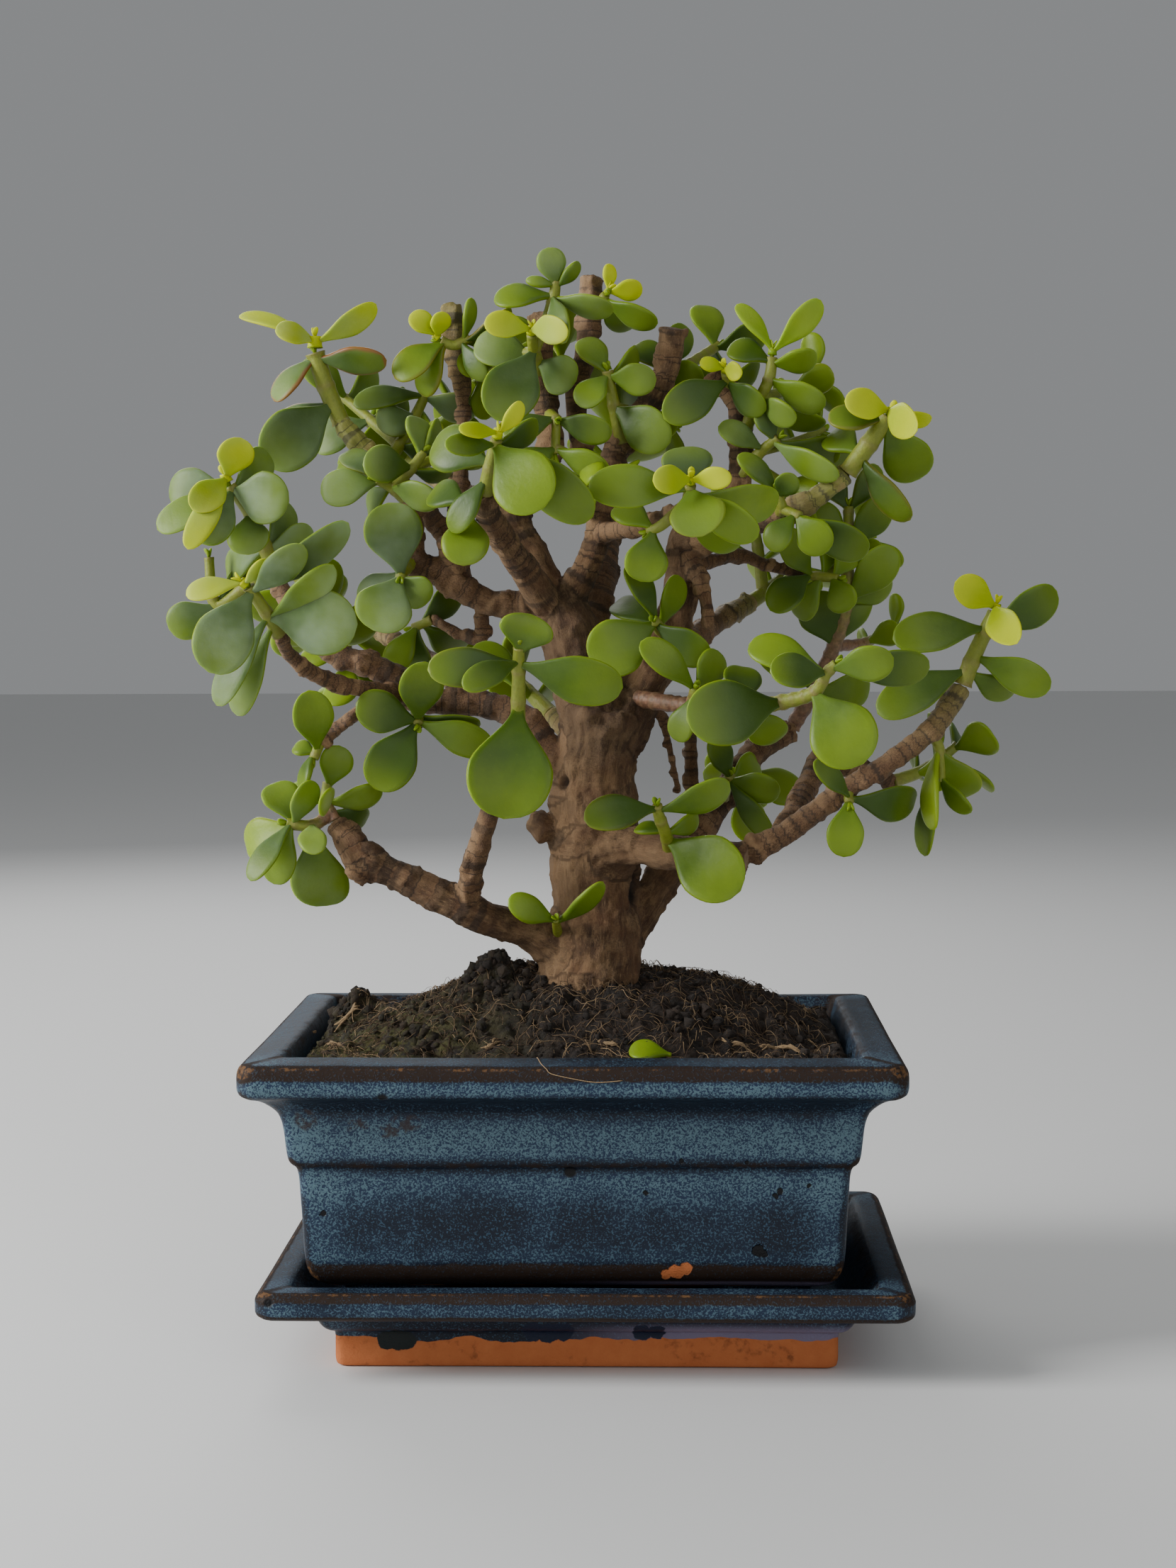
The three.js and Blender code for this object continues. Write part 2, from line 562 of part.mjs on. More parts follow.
const SHOOTS = {
  topLeft: {
    stem: [[-60.5, 227.4, 4, 2.3], [-64.5, 237, 3, 2.3], [-67, 245, 2, 2.3]],
    leaves: [
      [2, -49, 243, -3, 8.5, 35], [2, -77.5, 233, 0, 9, 55], [0, -80, 217.5, -4, 15, 0],
      [0, -79, 226, 10, 7, 55],
    ],
    young: {
      to: [-67, 249, 2, 1.8],
      leaves: [[-51.5, 257, 0, 7, 30], [-86, 254.4, 6, 5.5, 50], [-77, 250.5, -4, 7, 40]],
    },
  },
  topLeftTuft: {
    stem: [[-50, 216, 5, 1.8], [-46, 222, 10, 1.6], [-42, 229, 14, 1.4], [-39, 235, 16, 1.2]],
    side: [[-46, 222, 10, 1.6], [-53, 228, 19, 1.4], [-60, 234, 27, 1.2]],
    leaves: [
      [3, -57.5, 232, 10, 7.5, 40], [3, -26.5, 230, 14, 9, 30], [2, -51.4, 226.5, 8, 9.5, 25],
      [1, -35, 220, 12, 8, 30], [0, -62, 214, 8, 9, 30],
      [6, -70, 243, 22, 9, 30], [6, -52, 242, 36, 9, 40], [5, -68, 222, 22, 10, 20],
      [5, -44, 234, 30, 9, 30],
    ],
  },
  innerTuft: {
    stem: [[-44, 208, -4, 1.9], [-48, 211.5, -6, 1.6], [-52, 213.4, -8, 1.3]],
    side: [[-48, 211.5, -6, 1.6], [-43, 216, -5, 1.4], [-40, 220, -4, 1.2]],
    leaves: [
      [2, -66, 210, -8, 10, 20], [2, -60, 220, 0, 8, 35], [1, -54, 205.4, 2, 7, 45],
      [1, -36, 208, 2, 8, 30],
      [4, -55.3, 217, -12, 10, 15], [4, -33, 214.5, 0, 6, 50], [5, -36, 228, 2, 6, 55],
      [5, -42, 229, 0, 8.5, 40],
    ],
  },
  leftNode: {
    stem: [[-43, 193, -3, 1.9], [-45.5, 190, -9, 1.6], [-46, 188.5, -13, 1.4]],
    leaves: [
      [2, -49, 207.5, -16, 15, 0], [2, -53, 175.4, -18, 15, 10], [2, -38.5, 183, -12, 10, 30],
      [1, -56.6, 182, -4, 10, 35],
    ],
  },
  leftCloud: {
    stem: [[-77.4, 187.4, -7, 2.1], [-80, 196, -10, 1.9], [-84, 205, -13, 1.7], [-89, 212, -15, 1.5]],
    side: [[-78.6, 192, -8.4, 1.6], [-86, 186, -5, 1.5], [-93, 182, -4, 1.5], [-94.5, 194, -4, 1.2]],
    leaves: [
      [3, -104.4, 211, -14, 11, 10], [3, -107.5, 201, -18, 9, 30], [3, -96.5, 197.5, -24, 11, 5],
      [3, -74, 208, -22, 13.5, 5],
      [2, -84.5, 194.6, -18, 11, 15], [3, -79, 220, -8, 9.5, 20], [1, -74.5, 208, 2, 9, 30],
      [1, -67.6, 199, -4, 10, 20], [1, -90, 190, 4, 9, 30],
      [6, -105, 176, -6, 10, 10], [6, -84, 191, 4, 8, 30], [5, -88, 172, 4, 9, 20],
    ],
    young: {
      to: [-90.3, 215, -15.5, 1.3],
      leaves: [[-86, 224, -15, 9.5, 15], [-98.6, 206, -22, 8.5, 10], [-101, 194, -10, 7, 15]],
    },
  },
  frontLeftCloud: {
    stem: [[-77.2, 174.6, -39, 1.8], [-79.5, 179, -43, 1.7], [-84.5, 186.5, -47, 1.5]],
    leaves: [
      [1, -57, 177, -50, 17, 5], [2, -95, 165, -56, 15.5, 5], [1, -93, 156.5, -44, 9, 35],
      [0, -88, 154, -38, 9, 30],
      [2, -59, 202.5, -46, 11, 40], [2, -70.5, 197, -58, 9, 20], [1, -63, 192, -54, 9, 30],
    ],
    young: {
      to: [-86.5, 188, -48, 1.3],
      leaves: [[-100.5, 184.5, -50, 6.5, 30], [-80, 193.6, -56, 5, 40]],
    },
  },
  droopTip: {
    stem: [[-66.8, 147.4, -15.2, 1.5], [-68.5, 143, -17, 1.2]],
    leaves: [[0, -69.6, 160.4, -16, 10.5, 5], [1, -73.6, 146, -14, 5, 30], [1, -71.5, 135, -18, 6, 60]],
  },
  lowLeft: {
    stem: [[-63.4, 127.2, -12.8, 1.7], [-65.5, 132, -12, 1.5], [-65, 137, -12, 1.2]],
    side: [[-64.4, 129.4, -12.4, 1.5], [-69, 126, -15, 1.6], [-75.6, 126.8, -16, 1.4]],
    leaves: [
      [2, -62, 146.4, -13, 9, 15], [1, -51, 135.3, -10, 8, 40], [1, -67, 132.6, -28, 8, 0],
      [1, -76, 134, -4, 9, 30], [0, -55, 127.6, -4, 7, 20],
      [5, -79, 136.8, -12, 10, 15], [5, -69.4, 137.6, -22, 8, 35], [5, -86, 120.4, -10, 11, 25],
      [5, -85, 111.8, -24, 8, 45],
      [5, -79, 111, -16, 9, 15], [4, -68.5, 118.6, -26, 7.5, 0], [4, -65.5, 105.5, -14, 15, 5],
    ],
  },
  midLeftFan: {
    stem: [[-42, 157, -6, 1.8], [-42, 154, -10, 1.6], [-42, 151.5, -13, 1.4]],
    leaves: [
      [2, -57.6, 157, -18, 11, 5], [2, -53, 135.2, -16, 13, 10], [2, -23, 145.5, -12, 9.5, 20],
      [2, -40, 167.5, -20, 11.5, 5], [1, -26, 151.6, -8, 8, 45],
    ],
  },
  frontCross: {
    stem: [
      [-16.6, 151.6, -35.6, 1.9], [-16.4, 160, -40, 1.8], [-16.3, 167, -43, 1.6],
      [-16.2, 171, -45, 1.4],
    ],
    leaves: [
      [0, -20.4, 127.6, -46, 22, 0], [2, -39.4, 165.4, -50, 10.5, 10],
      [2, -30.3, 160.6, -56, 8, 25], [2, 10, 160.8, -46, 12.5, 10],
      [3, -13.2, 179.4, -46, 14, 5], [1, -27, 172, -36, 9, 30],
    ],
  },
  centreNode: {
    stem: [[21, 174, -3, 1.8], [19, 176, -9, 1.6], [18, 177.6, -13, 1.4]],
    leaves: [
      [2, 2, 167, -16, 15, 5], [2, 11, 191.6, -14, 8, 40], [1, 24, 189, -8, 8, 40],
      [2, 32, 168, -16, 10, 25], [1, 8, 182, 4, 8, 30],
    ],
  },
  frontYellow: {
    stem: [[26.3, 206.6, -32.8, 1.7], [27, 211.4, -38, 1.4]],
    side: [[26.4, 207.4, -34, 1.5], [20, 201.6, -33, 1.4], [16.5, 200, -31, 1.2]],
    leaves: [
      [1, 25.2, 221, -34, 13, 10], [1, 1.4, 211, -40, 11.5, 15], [1, 30, 198.6, -46, 14.5, 0],
      [1, 44, 198.4, -40, 10, 20],
      [0, 49, 207, -24, 11, 20], [0, 38, 195, -22, 10, 25], [4, 14.5, 187.4, -32, 11, 0],
      [4, 8, 206, -26, 8, 30],
    ],
    young: {
      to: [27.2, 213.5, -39.5, 1.2],
      leaves: [[17.6, 212.6, -46, 7.5, 5], [37.4, 213.4, -44, 6, 10]],
    },
  },
  frontMass: {
    stem: [[-24.6, 209.8, -34.8, 2], [-23, 217, -39, 1.8], [-21.6, 223, -42, 1.5]],
    side: [[-24.2, 211.6, -36, 1.6], [-28.6, 207, -31, 1.4], [-29, 204, -28, 1.2]],
    leaves: [
      [2, -9.6, 206, -52, 17, 5], [2, 2.6, 203.6, -44, 13, 15], [2, -34.6, 221.6, -50, 6.5, 25],
      [1, -37.6, 222, -30, 13, 10],
      [0, -33, 200, -36, 8, 30], [2, -11, 227, -36, 8, 40], [5, -30, 191.6, -26, 12, 5],
      [4, -38, 210, -20, 9, 25],
    ],
    young: { to: [-21, 225.5, -43.5, 1.3], leaves: [[-31, 225.6, -50, 5, 35], [-15.3, 232.6, -46, 5, 30]] },
  },
  crownPair: {
    stem: [[-10.3, 240, 2, 1.7], [-12, 245, -4, 1.5], [-12.6, 249, -8, 1.3]],
    side: [[-12, 245, -4, 1.5], [-9, 252, -5, 1.5], [-7, 258.4, -7, 1.5], [-6.4, 262.4, -8, 1.2]],
    leaves: [
      [1, -21.8, 228, -14, 14.5, 5], [0, -27, 246.6, 0, 10, 15], [0, -1.4, 237.6, -2, 10.5, 10],
      [5, -22, 257.6, -8, 8, 45], [5, 8, 255.6, -12, 8.5, 45], [6, -8.4, 270.6, -10, 7.5, 5],
      [5, -4, 247, -18, 7, 30],
      [6, -0.6, 267, -9, 4, 30], [6, -14, 262.6, -9, 3, 30],
    ],
    young: { to: [-12.6, 250.8, -9.6, 1.2], leaves: [[-24.5, 252, -14, 7, 15], [-3.4, 250, -18, 7.5, 10]] },
  },
  crownPost: {
    stem: [[4.2, 256.5, 10, 1.4], [6, 258.8, 6, 1.1]],
    leaves: [[1, 19, 251.6, 4, 7.5, 40], [1, 12, 250, 14, 7, 30]],
    young: { to: [6.8, 260, 5.4, 0.9], leaves: [[6.8, 266.5, 5, 3.8, 20], [15.2, 260.4, 5, 6, 25]] },
  },
  innerPost: {
    stem: [[-8, 229, 3, 1.6], [-6.4, 228, -4, 1.3]],
    side: [[-6.5, 228, -3.4, 1.2], [-6.8, 219.4, -5, 1.2]],
    leaves: [
      [1, 7.5, 224.5, -8, 8, 20], [1, -20, 224, -8, 8, 30], [3, 6.8, 214.4, -8, 8, 25],
      [3, -17, 214, -10, 9, 20],
    ],
  },
  midCrown: {
    stem: [[10, 222, 3, 1.8], [8, 231, 1, 1.6], [6.4, 240, -1, 1.4]],
    leaves: [
      [2, 18.6, 237.7, -5, 8.5, 15], [2, -0.4, 231, -6, 8.5, 30], [2, 0, 248, 4, 8, 30],
      [2, 14, 245, 6, 7.5, 45], [1, 22, 222, -6, 12, 15],
    ],
  },
  leftPostFront: {
    stem: [[-28, 248.4, 3.6, 1.2], [-32, 246.6, 3.4, 1.3], [-35.4, 247.8, 2.6, 1.2]],
    leaves: [
      [2, -47, 238.4, 0, 9, 30], [2, -40, 234, 6, 8.5, 40], [0, -24, 238, 0, 6, 30],
      [0, -20, 250, 8, 8, 40],
      [0, -27.6, 258.4, 2, 3.8, 30], [0, -17.6, 255.6, 0, 4.5, 35],
    ],
    young: { to: [-37, 249.4, 2, 1], leaves: [[-43, 254.4, 0, 6, 20], [-35, 255, -2, 5.5, 20]] },
  },
  behindStump: {
    stem: [[17, 232, 6, 1.7], [20, 241, 11, 1.4]],
    side: [[18, 236, 8, 1.5], [26, 241, 18, 1.4], [34, 246, 27, 1.2]],
    leaves: [
      [1, 30.5, 237, 6, 10, 20], [1, 13.5, 246.5, 14, 8, 30], [1, 26, 251, 14, 8, 20],
      [0, 8, 232, 14, 9, 20],
      [3, 22, 232, 26, 9, 20], [3, 38, 236, 18, 9, 30], [4, 46, 250, 26, 9, 30],
      [4, 30, 256, 34, 9, 30], [4, 34, 240, 40, 9, 30],
    ],
  },
  rightStump: {
    stem: [[37, 235, 2, 1.6], [36, 239.4, -2, 1.3]],
    leaves: [[0, 20.4, 228, -8, 10.5, 5], [0, 46, 230, 2, 8.5, 35], [1, 44, 240, 6, 7, 30]],
    young: { to: [35.6, 240.6, -3, 1.1], leaves: [[29.4, 242, -4, 4, 20], [40, 239, -8, 5, 10]] },
  },
  limeSprig: {
    stem: [[41, 226, 2, 1.7], [44.5, 233, -2, 1.5], [46.8, 238, -3, 1.5], [47.4, 243, -3, 1.3]],
    leaves: [
      [3, 36.3, 245.2, -1, 8, 40], [3, 58.6, 243.8, -6, 8, 40], [2, 60.8, 231, -6, 9, 35],
      [1, 53.6, 228, -10, 8, 40], [1, 60.5, 226, 6, 8, 45],
    ],
    young: { to: [47.6, 245, -3, 1.1], leaves: [[38.6, 256.2, -2, 5.5, 35], [59.6, 257, -4, 7, 20]] },
  },
  upperRightTip: {
    stem: [[66.4, 214.4, -6, 2.4], [72.7, 223, -8, 2.3], [76, 228.4, -9, 2]],
    leaves: [
      [2, 61.4, 227.4, -12, 8.5, 40], [2, 84.3, 212.6, -2, 12.5, 10], [0, 82, 202.4, -10, 8, 30],
      [0, 62, 224, 4, 9, 20],
    ],
    young: {
      to: [77, 230, -9.4, 1.5],
      leaves: [[65.5, 232, -14, 8, 20], [83.6, 224.6, -16, 8.5, 15], [87, 227, -4, 5, 30]],
    },
  },
  rightLong: {
    stem: [[39, 213, 4, 1.7], [45, 220, 0, 1.4], [49, 223, -2, 1.2]],
    leaves: [
      [2, 64.3, 213.6, -8, 8, 35], [2, 66.8, 218, 4, 11, 20], [1, 34, 226, -4, 7, 30],
      [2, 44, 230, 2, 7, 35],
    ],
  },
  rightSmall: {
    stem: [[49, 204.4, -4, 1.6], [50, 205.4, -9.4, 1.4], [48.6, 210, -11, 1.2]],
    side: [[50, 205.4, -9.4, 1.4], [54.6, 203.4, -12, 1.2]],
    leaves: [
      [2, 39, 219, -12, 6, 30], [2, 53, 214, -16, 6.5, 10], [0, 57, 212, 2, 9, 20],
      [4, 61.6, 194.8, -15, 9.5, 10], [4, 71.4, 194.2, -9, 10, 20], [4, 47, 195, -12, 8, 25],
    ],
  },
  shelfTip: {
    stem: [[54.4, 189, 17, 1], [60, 188.4, 15, 1.3], [64, 188, 13, 1.1]],
    leaves: [
      [0, 50, 200, 8, 8.5, 20], [2, 67, 180, 10, 8.5, 20], [2, 68, 197, 18, 8, 30], [1, 54, 178, 20, 8, 20],
      [0, 47, 180, 12, 9, 15], [1, 62, 201, 20, 8, 30],
    ],
  },
  rightPost: {
    stem: [
      [52.5, 150.6, 31.4, 2], [58, 160, 30, 1.9], [63, 171, 26, 1.8], [66, 182, 22, 1.7],
      [66.4, 196, 20, 1.5], [66.6, 206, 19, 1.3],
    ],
    leaves: [
      [2, 57.5, 184.6, 18, 12, 0], [2, 71, 186, 26, 8, 10], [3, 78, 195.6, 18, 10, 15],
      [3, 77.5, 188, 28, 8, 35], [4, 76, 208, 16, 9, 20],
      [4, 56, 206, 26, 9, 20], [5, 60, 214, 18, 7, 20], [5, 74, 216, 22, 7, 20],
      [1, 44, 172, 26, 10, 15], [1, 72, 160, 36, 10, 20],
    ],
  },
  frontRight: {
    stem: [
      [14, 158, -3, 2.2], [28, 156, -16, 2], [40, 155.6, -28, 1.9], [50, 157, -36, 1.9],
      [58, 159.4, -41, 1.7], [61, 164, -43, 1.5],
      [63.6, 166.6, -44, 1.3],
    ],
    side: [[27, 156, -15, 1.6], [28.4, 160.6, -21, 1.3]],
    leaves: [
      [3, 26, 152.6, -46, 17, 5], [4, 70.5, 141.4, -50, 17.5, 0], [5, 41.7, 171.6, -38, 10, 25],
      [5, 47, 164.6, -50, 10, 25],
      [6, 78, 168, -50, 10, 20], [6, 87, 165.6, -36, 10, 20], [2, 40, 166, -20, 10, 15],
      [2, 50, 148, -22, 10, 25],
      [8, 14.5, 172.4, -24, 8.5, 20], [8, 34, 170, -18, 9, 30], [7, 24, 147, -18, 8, 30],
    ],
  },
  rightEnd: {
    stem: [[95.2, 161.2, -14, 2.3], [98, 168.4, -14, 2.1], [101, 175, -14, 1.9], [103, 179.4, -14, 1.6]],
    leaves: [
      [2, 118.6, 184.6, -10, 10, 15], [2, 77.7, 172.6, -20, 11, 20],
      [1, 117.2, 160.2, -16, 9.5, 15], [0, 108.6, 159.6, -6, 8, 25], [0, 74, 154, -20, 11, 20],
    ],
    young: {
      to: [103.6, 181.4, -14, 1.3],
      leaves: [[93.2, 187, -18, 8.5, 10], [109.4, 170.4, -20, 8.5, 5]],
    },
  },
  edgeLeaves: {
    stem: [[87.4, 149, -15, 1.6], [89.6, 145, -13, 1.3], [90, 137, -12, 1.1]],
    leaves: [
      [1, 88.4, 124.6, -20, 9, 62], [2, 86, 118, -12, 8, 50], [1, 98, 133.6, -8, 10.5, 20],
      [2, 97.6, 129, -14, 6, 40],
    ],
  },
  paleLeaf: {
    stem: [[66.5, 134, -21, 1.5], [67, 131.6, -23, 1.1]],
    leaves: [[1, 65.6, 117.8, -25, 9.5, 5], [0, 83.6, 132, -10, 10, 20], [0, 58, 142, -24, 6, 30]],
  },
  buttressLeaves: {
    stem: [[35, 133, 14, 1.7], [37, 138.6, 9, 1.3]],
    leaves: [
      [1, 47.6, 122.6, 4, 6.5, 25], [1, 49.6, 134.4, 6, 8.5, 25], [1, 32, 148, 4, 7.5, 30],
      [0, 44, 142, 22, 9, 20],
    ],
  },
  lowFront: {
    stem: [[21.6, 120.4, -20, 1.8], [20.6, 124, -27, 1.6], [19, 128.4, -31, 1.5], [18.6, 131, -33, 1.2]],
    leaves: [
      [3, 0, 127.4, -40, 10, 20], [3, 36.8, 136.8, -36, 9, 30], [0, 39.6, 109.2, -36, 17, 0],
      [1, 13, 125, -22, 5, 45], [1, 29, 128, -22, 6, 35],
    ],
  },
  baseSprout: {
    stem: [[-6.6, 97.6, -6, 1.4], [-7.3, 102, -16, 1]],
    leaves: [[1, -19.3, 107.2, -20, 7.5, 15], [1, 4.8, 111.6, -22, 6, 40]],
  },
  underArm: {
    stem: [[-38.2, 178, 9, 1.3], [-43, 176, 10, 1.1]],
    leaves: [
      [1, -31, 187, 10, 8.5, 30], [1, -49, 164.5, 8, 8, 20], [1, -41, 163, 14, 9, 25],
      [0, -30, 171, 14, 9, 30],
    ],
  },
};

// Leafy shoots at the back, which grow by rule: pairs of leaves, each pair across the last.
// A stem and the side stem that leaves it are rows of places as seen from the front.
const REAR_SHOOTS = {
  rearLow: {
    stem: [[-8, 154, 44, 2.2], [-14, 160, 52, 1.8], [-20, 166, 58, 1.3]],
  },
  rearRight: {
    stem: [[42, 182, 44, 2], [50, 188, 52, 1.7], [56, 196, 58, 1.2]],
    side: [[45.2, 184.4, 47.2, 1.6], [44, 195, 50, 1.5], [42, 206, 52, 1.2]],
  },
  rearMiddle: {
    stem: [[6, 210, 42, 2], [8, 220, 50, 1.7], [10, 232, 54, 1.2]],
  },
  rearLeft: {
    stem: [[-38, 214, 46, 2], [-46, 220, 52, 1.6], [-54, 228, 56, 1.2]],
    side: [[-41, 216.4, 48.4, 1.5], [-34, 226, 50, 1.5], [-28, 236, 50, 1.2]],
  },
  rearFarLeft: {
    stem: [[-56, 178, 40, 1.8], [-66, 184, 46, 1.5], [-76, 192, 50, 1.2]],
    side: [[-60, 180.4, 42.4, 1.5], [-60, 172, 50, 1.4], [-58, 164, 55, 1.2]],
  },
  rearCrown: {
    stem: [[-1, 233, 13, 1.7], [-4, 240, 24, 1.5], [-8, 248, 32, 1.2]],
  },
  rearTwig: {
    stem: [[78, 137, 22.2, 1.7], [86, 140, 26, 1.5], [94, 146, 28, 1.2]],
  },
  rearButtress: {
    stem: [[43, 143.4, 26, 1.8], [42, 138, 38, 1.5], [38, 134, 48, 1.2]],
  },
  rearShelf: {
    stem: [[-63, 170, -7, 1.9], [-66, 176, 6, 1.6], [-70, 182, 16, 1.2]],
  },
};

// Small side stems deep in the crown that leave the shoots of the same name and grow by the
// same rule, with shorter leaves.
const TUFTS = {
  topLeftTuft: [
    [[-46, 222, 10, 1.5], [-38, 226, 22, 1.3], [-30, 231, 32, 1.1]],
  ],
  innerTuft: [
    [[-43, 216, -5, 1.4], [-36, 219, 4, 1.2], [-29, 223, 12, 1]],
  ],
  innerPost: [
    [[-6.8, 221, -4.8, 1.2], [-1, 218, -4, 1.1], [4, 213, -3, 1]],
  ],
  midCrown: [
    [[8, 231, 1, 1.5], [15, 229, 10, 1.2], [23, 226, 18, 1]],
  ],
  crownPair: [
    [[-12, 245, -4, 1.4], [-20, 243, 6, 1.2], [-26, 238, 14, 1]],
  ],
  rightLong: [
    [[45, 220, 0, 1.4], [53, 222, 8, 1.2], [60, 225, 16, 1]],
    [[42, 217, 2, 1.4], [50, 212, 9, 1.2], [57, 208, 14, 1]],
  ],
  limeSprig: [
    [[44.5, 233, -2, 1.5], [52, 235, 8, 1.2], [58, 238, 16, 1]],
  ],
  shelfTip: [
    [[60, 188.4, 15, 1.2], [66, 193, 26, 1.1], [72, 198, 34, 1]],
  ],
  rightPost: [
    [[63, 171, 26, 1.5], [71, 172, 36, 1.2], [79, 176, 42, 1]],
  ],
};

// Bends tried for a leaf until it is clear of its neighbours: a shift of its tip away from the
// viewer, which leaves its look from the front alone, and a share of its length.
const BENDS = [
  [0, 1], [4, 1], [-4, 1], [8, 1], [-8, 1], [12, 1], [-12, 1], [16, 1], [-16, 1],
  [0, 0.85], [6, 0.85], [-6, 0.85], [12, 0.8], [-12, 0.8], [20, 0.9], [-20, 0.9],
];

// The same for a rear leaf: a turn about its stem in degrees, and a share of its length.
const TURNS = [[0, 1], [25, 1], [-25, 1], [50, 1], [-50, 1], [0, 0.75], [35, 0.75], [-35, 0.75]];

// Pairs of leaves along a rear stem or a tuft's stem, the last of them at its end.
const REAR_PAIRS = 3;
const TUFT_PAIRS = 2;
const REAR_LENGTH = [13, 18];
const TUFT_LENGTH = [9.5, 13];
const REAR_WIDTH_SHARE = 0.66;
const REAR_RISE = 0.5; // how far a rear leaf leans towards the end of its stem
const SINK = 0.5; // how far a blade's base runs on past the middle of its stem
const NODE_SETBACK = 1.4; // from a stem's end to where its last leaves start
const CLEARANCE = 0.25;
const LEAST_VOLUME = 1e-4; // a leaf is clear of another piece if they share less than this
const SMALLEST_EDGE = 0.4; // detail finer than this is left out of the joins
const STEM_GAP = 0.4; // left between a shoot and the branch that it grows from

// A fleshy blade: an equator of points drawn to the leaf's outline, with its two poles as the
// top and bottom of the thickest place. hint is the way that the upper face looks.
function blade({ base, tip, width, hint, turn = 0 }, thickness, extra = 0) {
  const along = tip.clone().sub(base);
  const length = along.length();
  along.normalize();
  const across = new THREE.Vector3().crossVectors(along, hint).normalize();
  const face = new THREE.Vector3().crossVectors(across, along).normalize();
  const angle = THREE.MathUtils.degToRad(turn);
  across.applyAxisAngle(along, angle);
  face.applyAxisAngle(along, angle);
  const ball = new THREE.SphereGeometry(1, LEAF_SIDES, 2);
  reshape(ball, (point) => {
    const { x, y, z } = point;
    const rim = Math.abs(y) < 0.5;
    const share = rim ? (1 - x) / 2 : 0.58;
    const half = rim ? ((width / 2 + extra) * -z * (0.62 + 0.5 * share)) / 0.9 : 0;
    const rise = LEAF_ARCH * length * 4 * share * (1 - share) + (rim ? 0 : y * (thickness / 2 + extra));
    point.copy(base);
    point.addScaledVector(along, share * (length + SINK + extra) - SINK);
    point.addScaledVector(across, half);
    point.addScaledVector(face, rise);
  });
  return solidOf(ball);
}

// The places of a shoot that leaves grow from, with the last of each stem set back from its end.
function stations({ stem, side }) {
  return [stem, side ?? []].flatMap((rows) =>
    rows.map(([x, z, y], i) => {
      const place = seen(x, z, y);
      if (i === 0) {
        const [nx, nz, ny] = rows[1];
        return place.lerp(seen(nx, nz, ny), 0.5);
      }
      if (i < rows.length - 1) return place;
      const [px, pz, py] = rows[i - 1];
      const back = seen(px, pz, py).sub(place).normalize();
      return place.addScaledVector(back, NODE_SETBACK);
    }),
  );
}

// The versions of a leaf that the tables place by its tip, one for each bend.
function shownLeaf(base, [x, z, y, width, turn]) {
  return BENDS.map(([shift, share]) => {
    const tip = seen(x, z, y + shift);
    tip.sub(base).multiplyScalar(share).add(base);
    const hint = EYE.clone().sub(base.clone().add(tip).multiplyScalar(0.5));
    return { base, tip, width: seenSize(width, y), hint, turn };
  });
}

// The leaves of a rear stem, each as its versions, one for each turn about the stem.
function rearLeaves(rows, pairs, [shortest, longest], random) {
  const points = rows.map(([x, z, y]) => seen(x, z, y));
  const leaves = [];
  for (let pair = 0; pair < pairs; pair++) {
    const at = ((pair + 1) / pairs) * (points.length - 1);
    const index = Math.min(Math.floor(at), points.length - 2);
    const along = points[index + 1].clone().sub(points[index]).normalize();
    const base = points[index].clone().lerp(points[index + 1], at - index);
    if (pair === pairs - 1) base.addScaledVector(along, -NODE_SETBACK);
    const level = new THREE.Vector3(0, 0, 1).cross(along).normalize();
    const spin = pair * 90 + 40 * random() - 20;
    for (const opposite of [0, 180]) {
      const length = THREE.MathUtils.lerp(shortest, longest, random());
      leaves.push(
        TURNS.map(([turn, share]) => {
          const out = level.clone().applyAxisAngle(along, THREE.MathUtils.degToRad(spin + opposite + turn));
          const way = out.addScaledVector(along, REAR_RISE).normalize();
          const tip = base.clone().addScaledVector(way, length * share);
          return { base, tip, width: length * REAR_WIDTH_SHARE, hint: along };
        }),
      );
    }
  }
  return leaves;
}

// Joins the stems of a shoot and trims them to the branch that they grow from.
function stemSolid(rowLists, thickTrunk) {
  const stems = rowLists.map((rows) => limb(rows, STEM_SIDES, 1));
  const bodies = wasm.Manifold.union(stems).subtract(thickTrunk).decompose();
  return bodies.reduce((best, body) => (body.volume() > best.volume() ? body : best));
}

function boxesMeet(a, b) {
  return [0, 1, 2].every((i) => a.min[i] <= b.max[i] && b.min[i] <= a.max[i]);
}

// A young shoot's stem starts just past the end of the stem that carries it.
function youngRows(stem, to) {
  const end = stem.at(-1);
  const start = end.map((value, i) => (i === 3 ? to[3] : THREE.MathUtils.lerp(value, to[i], 0.3)));
  return [start, to];
}

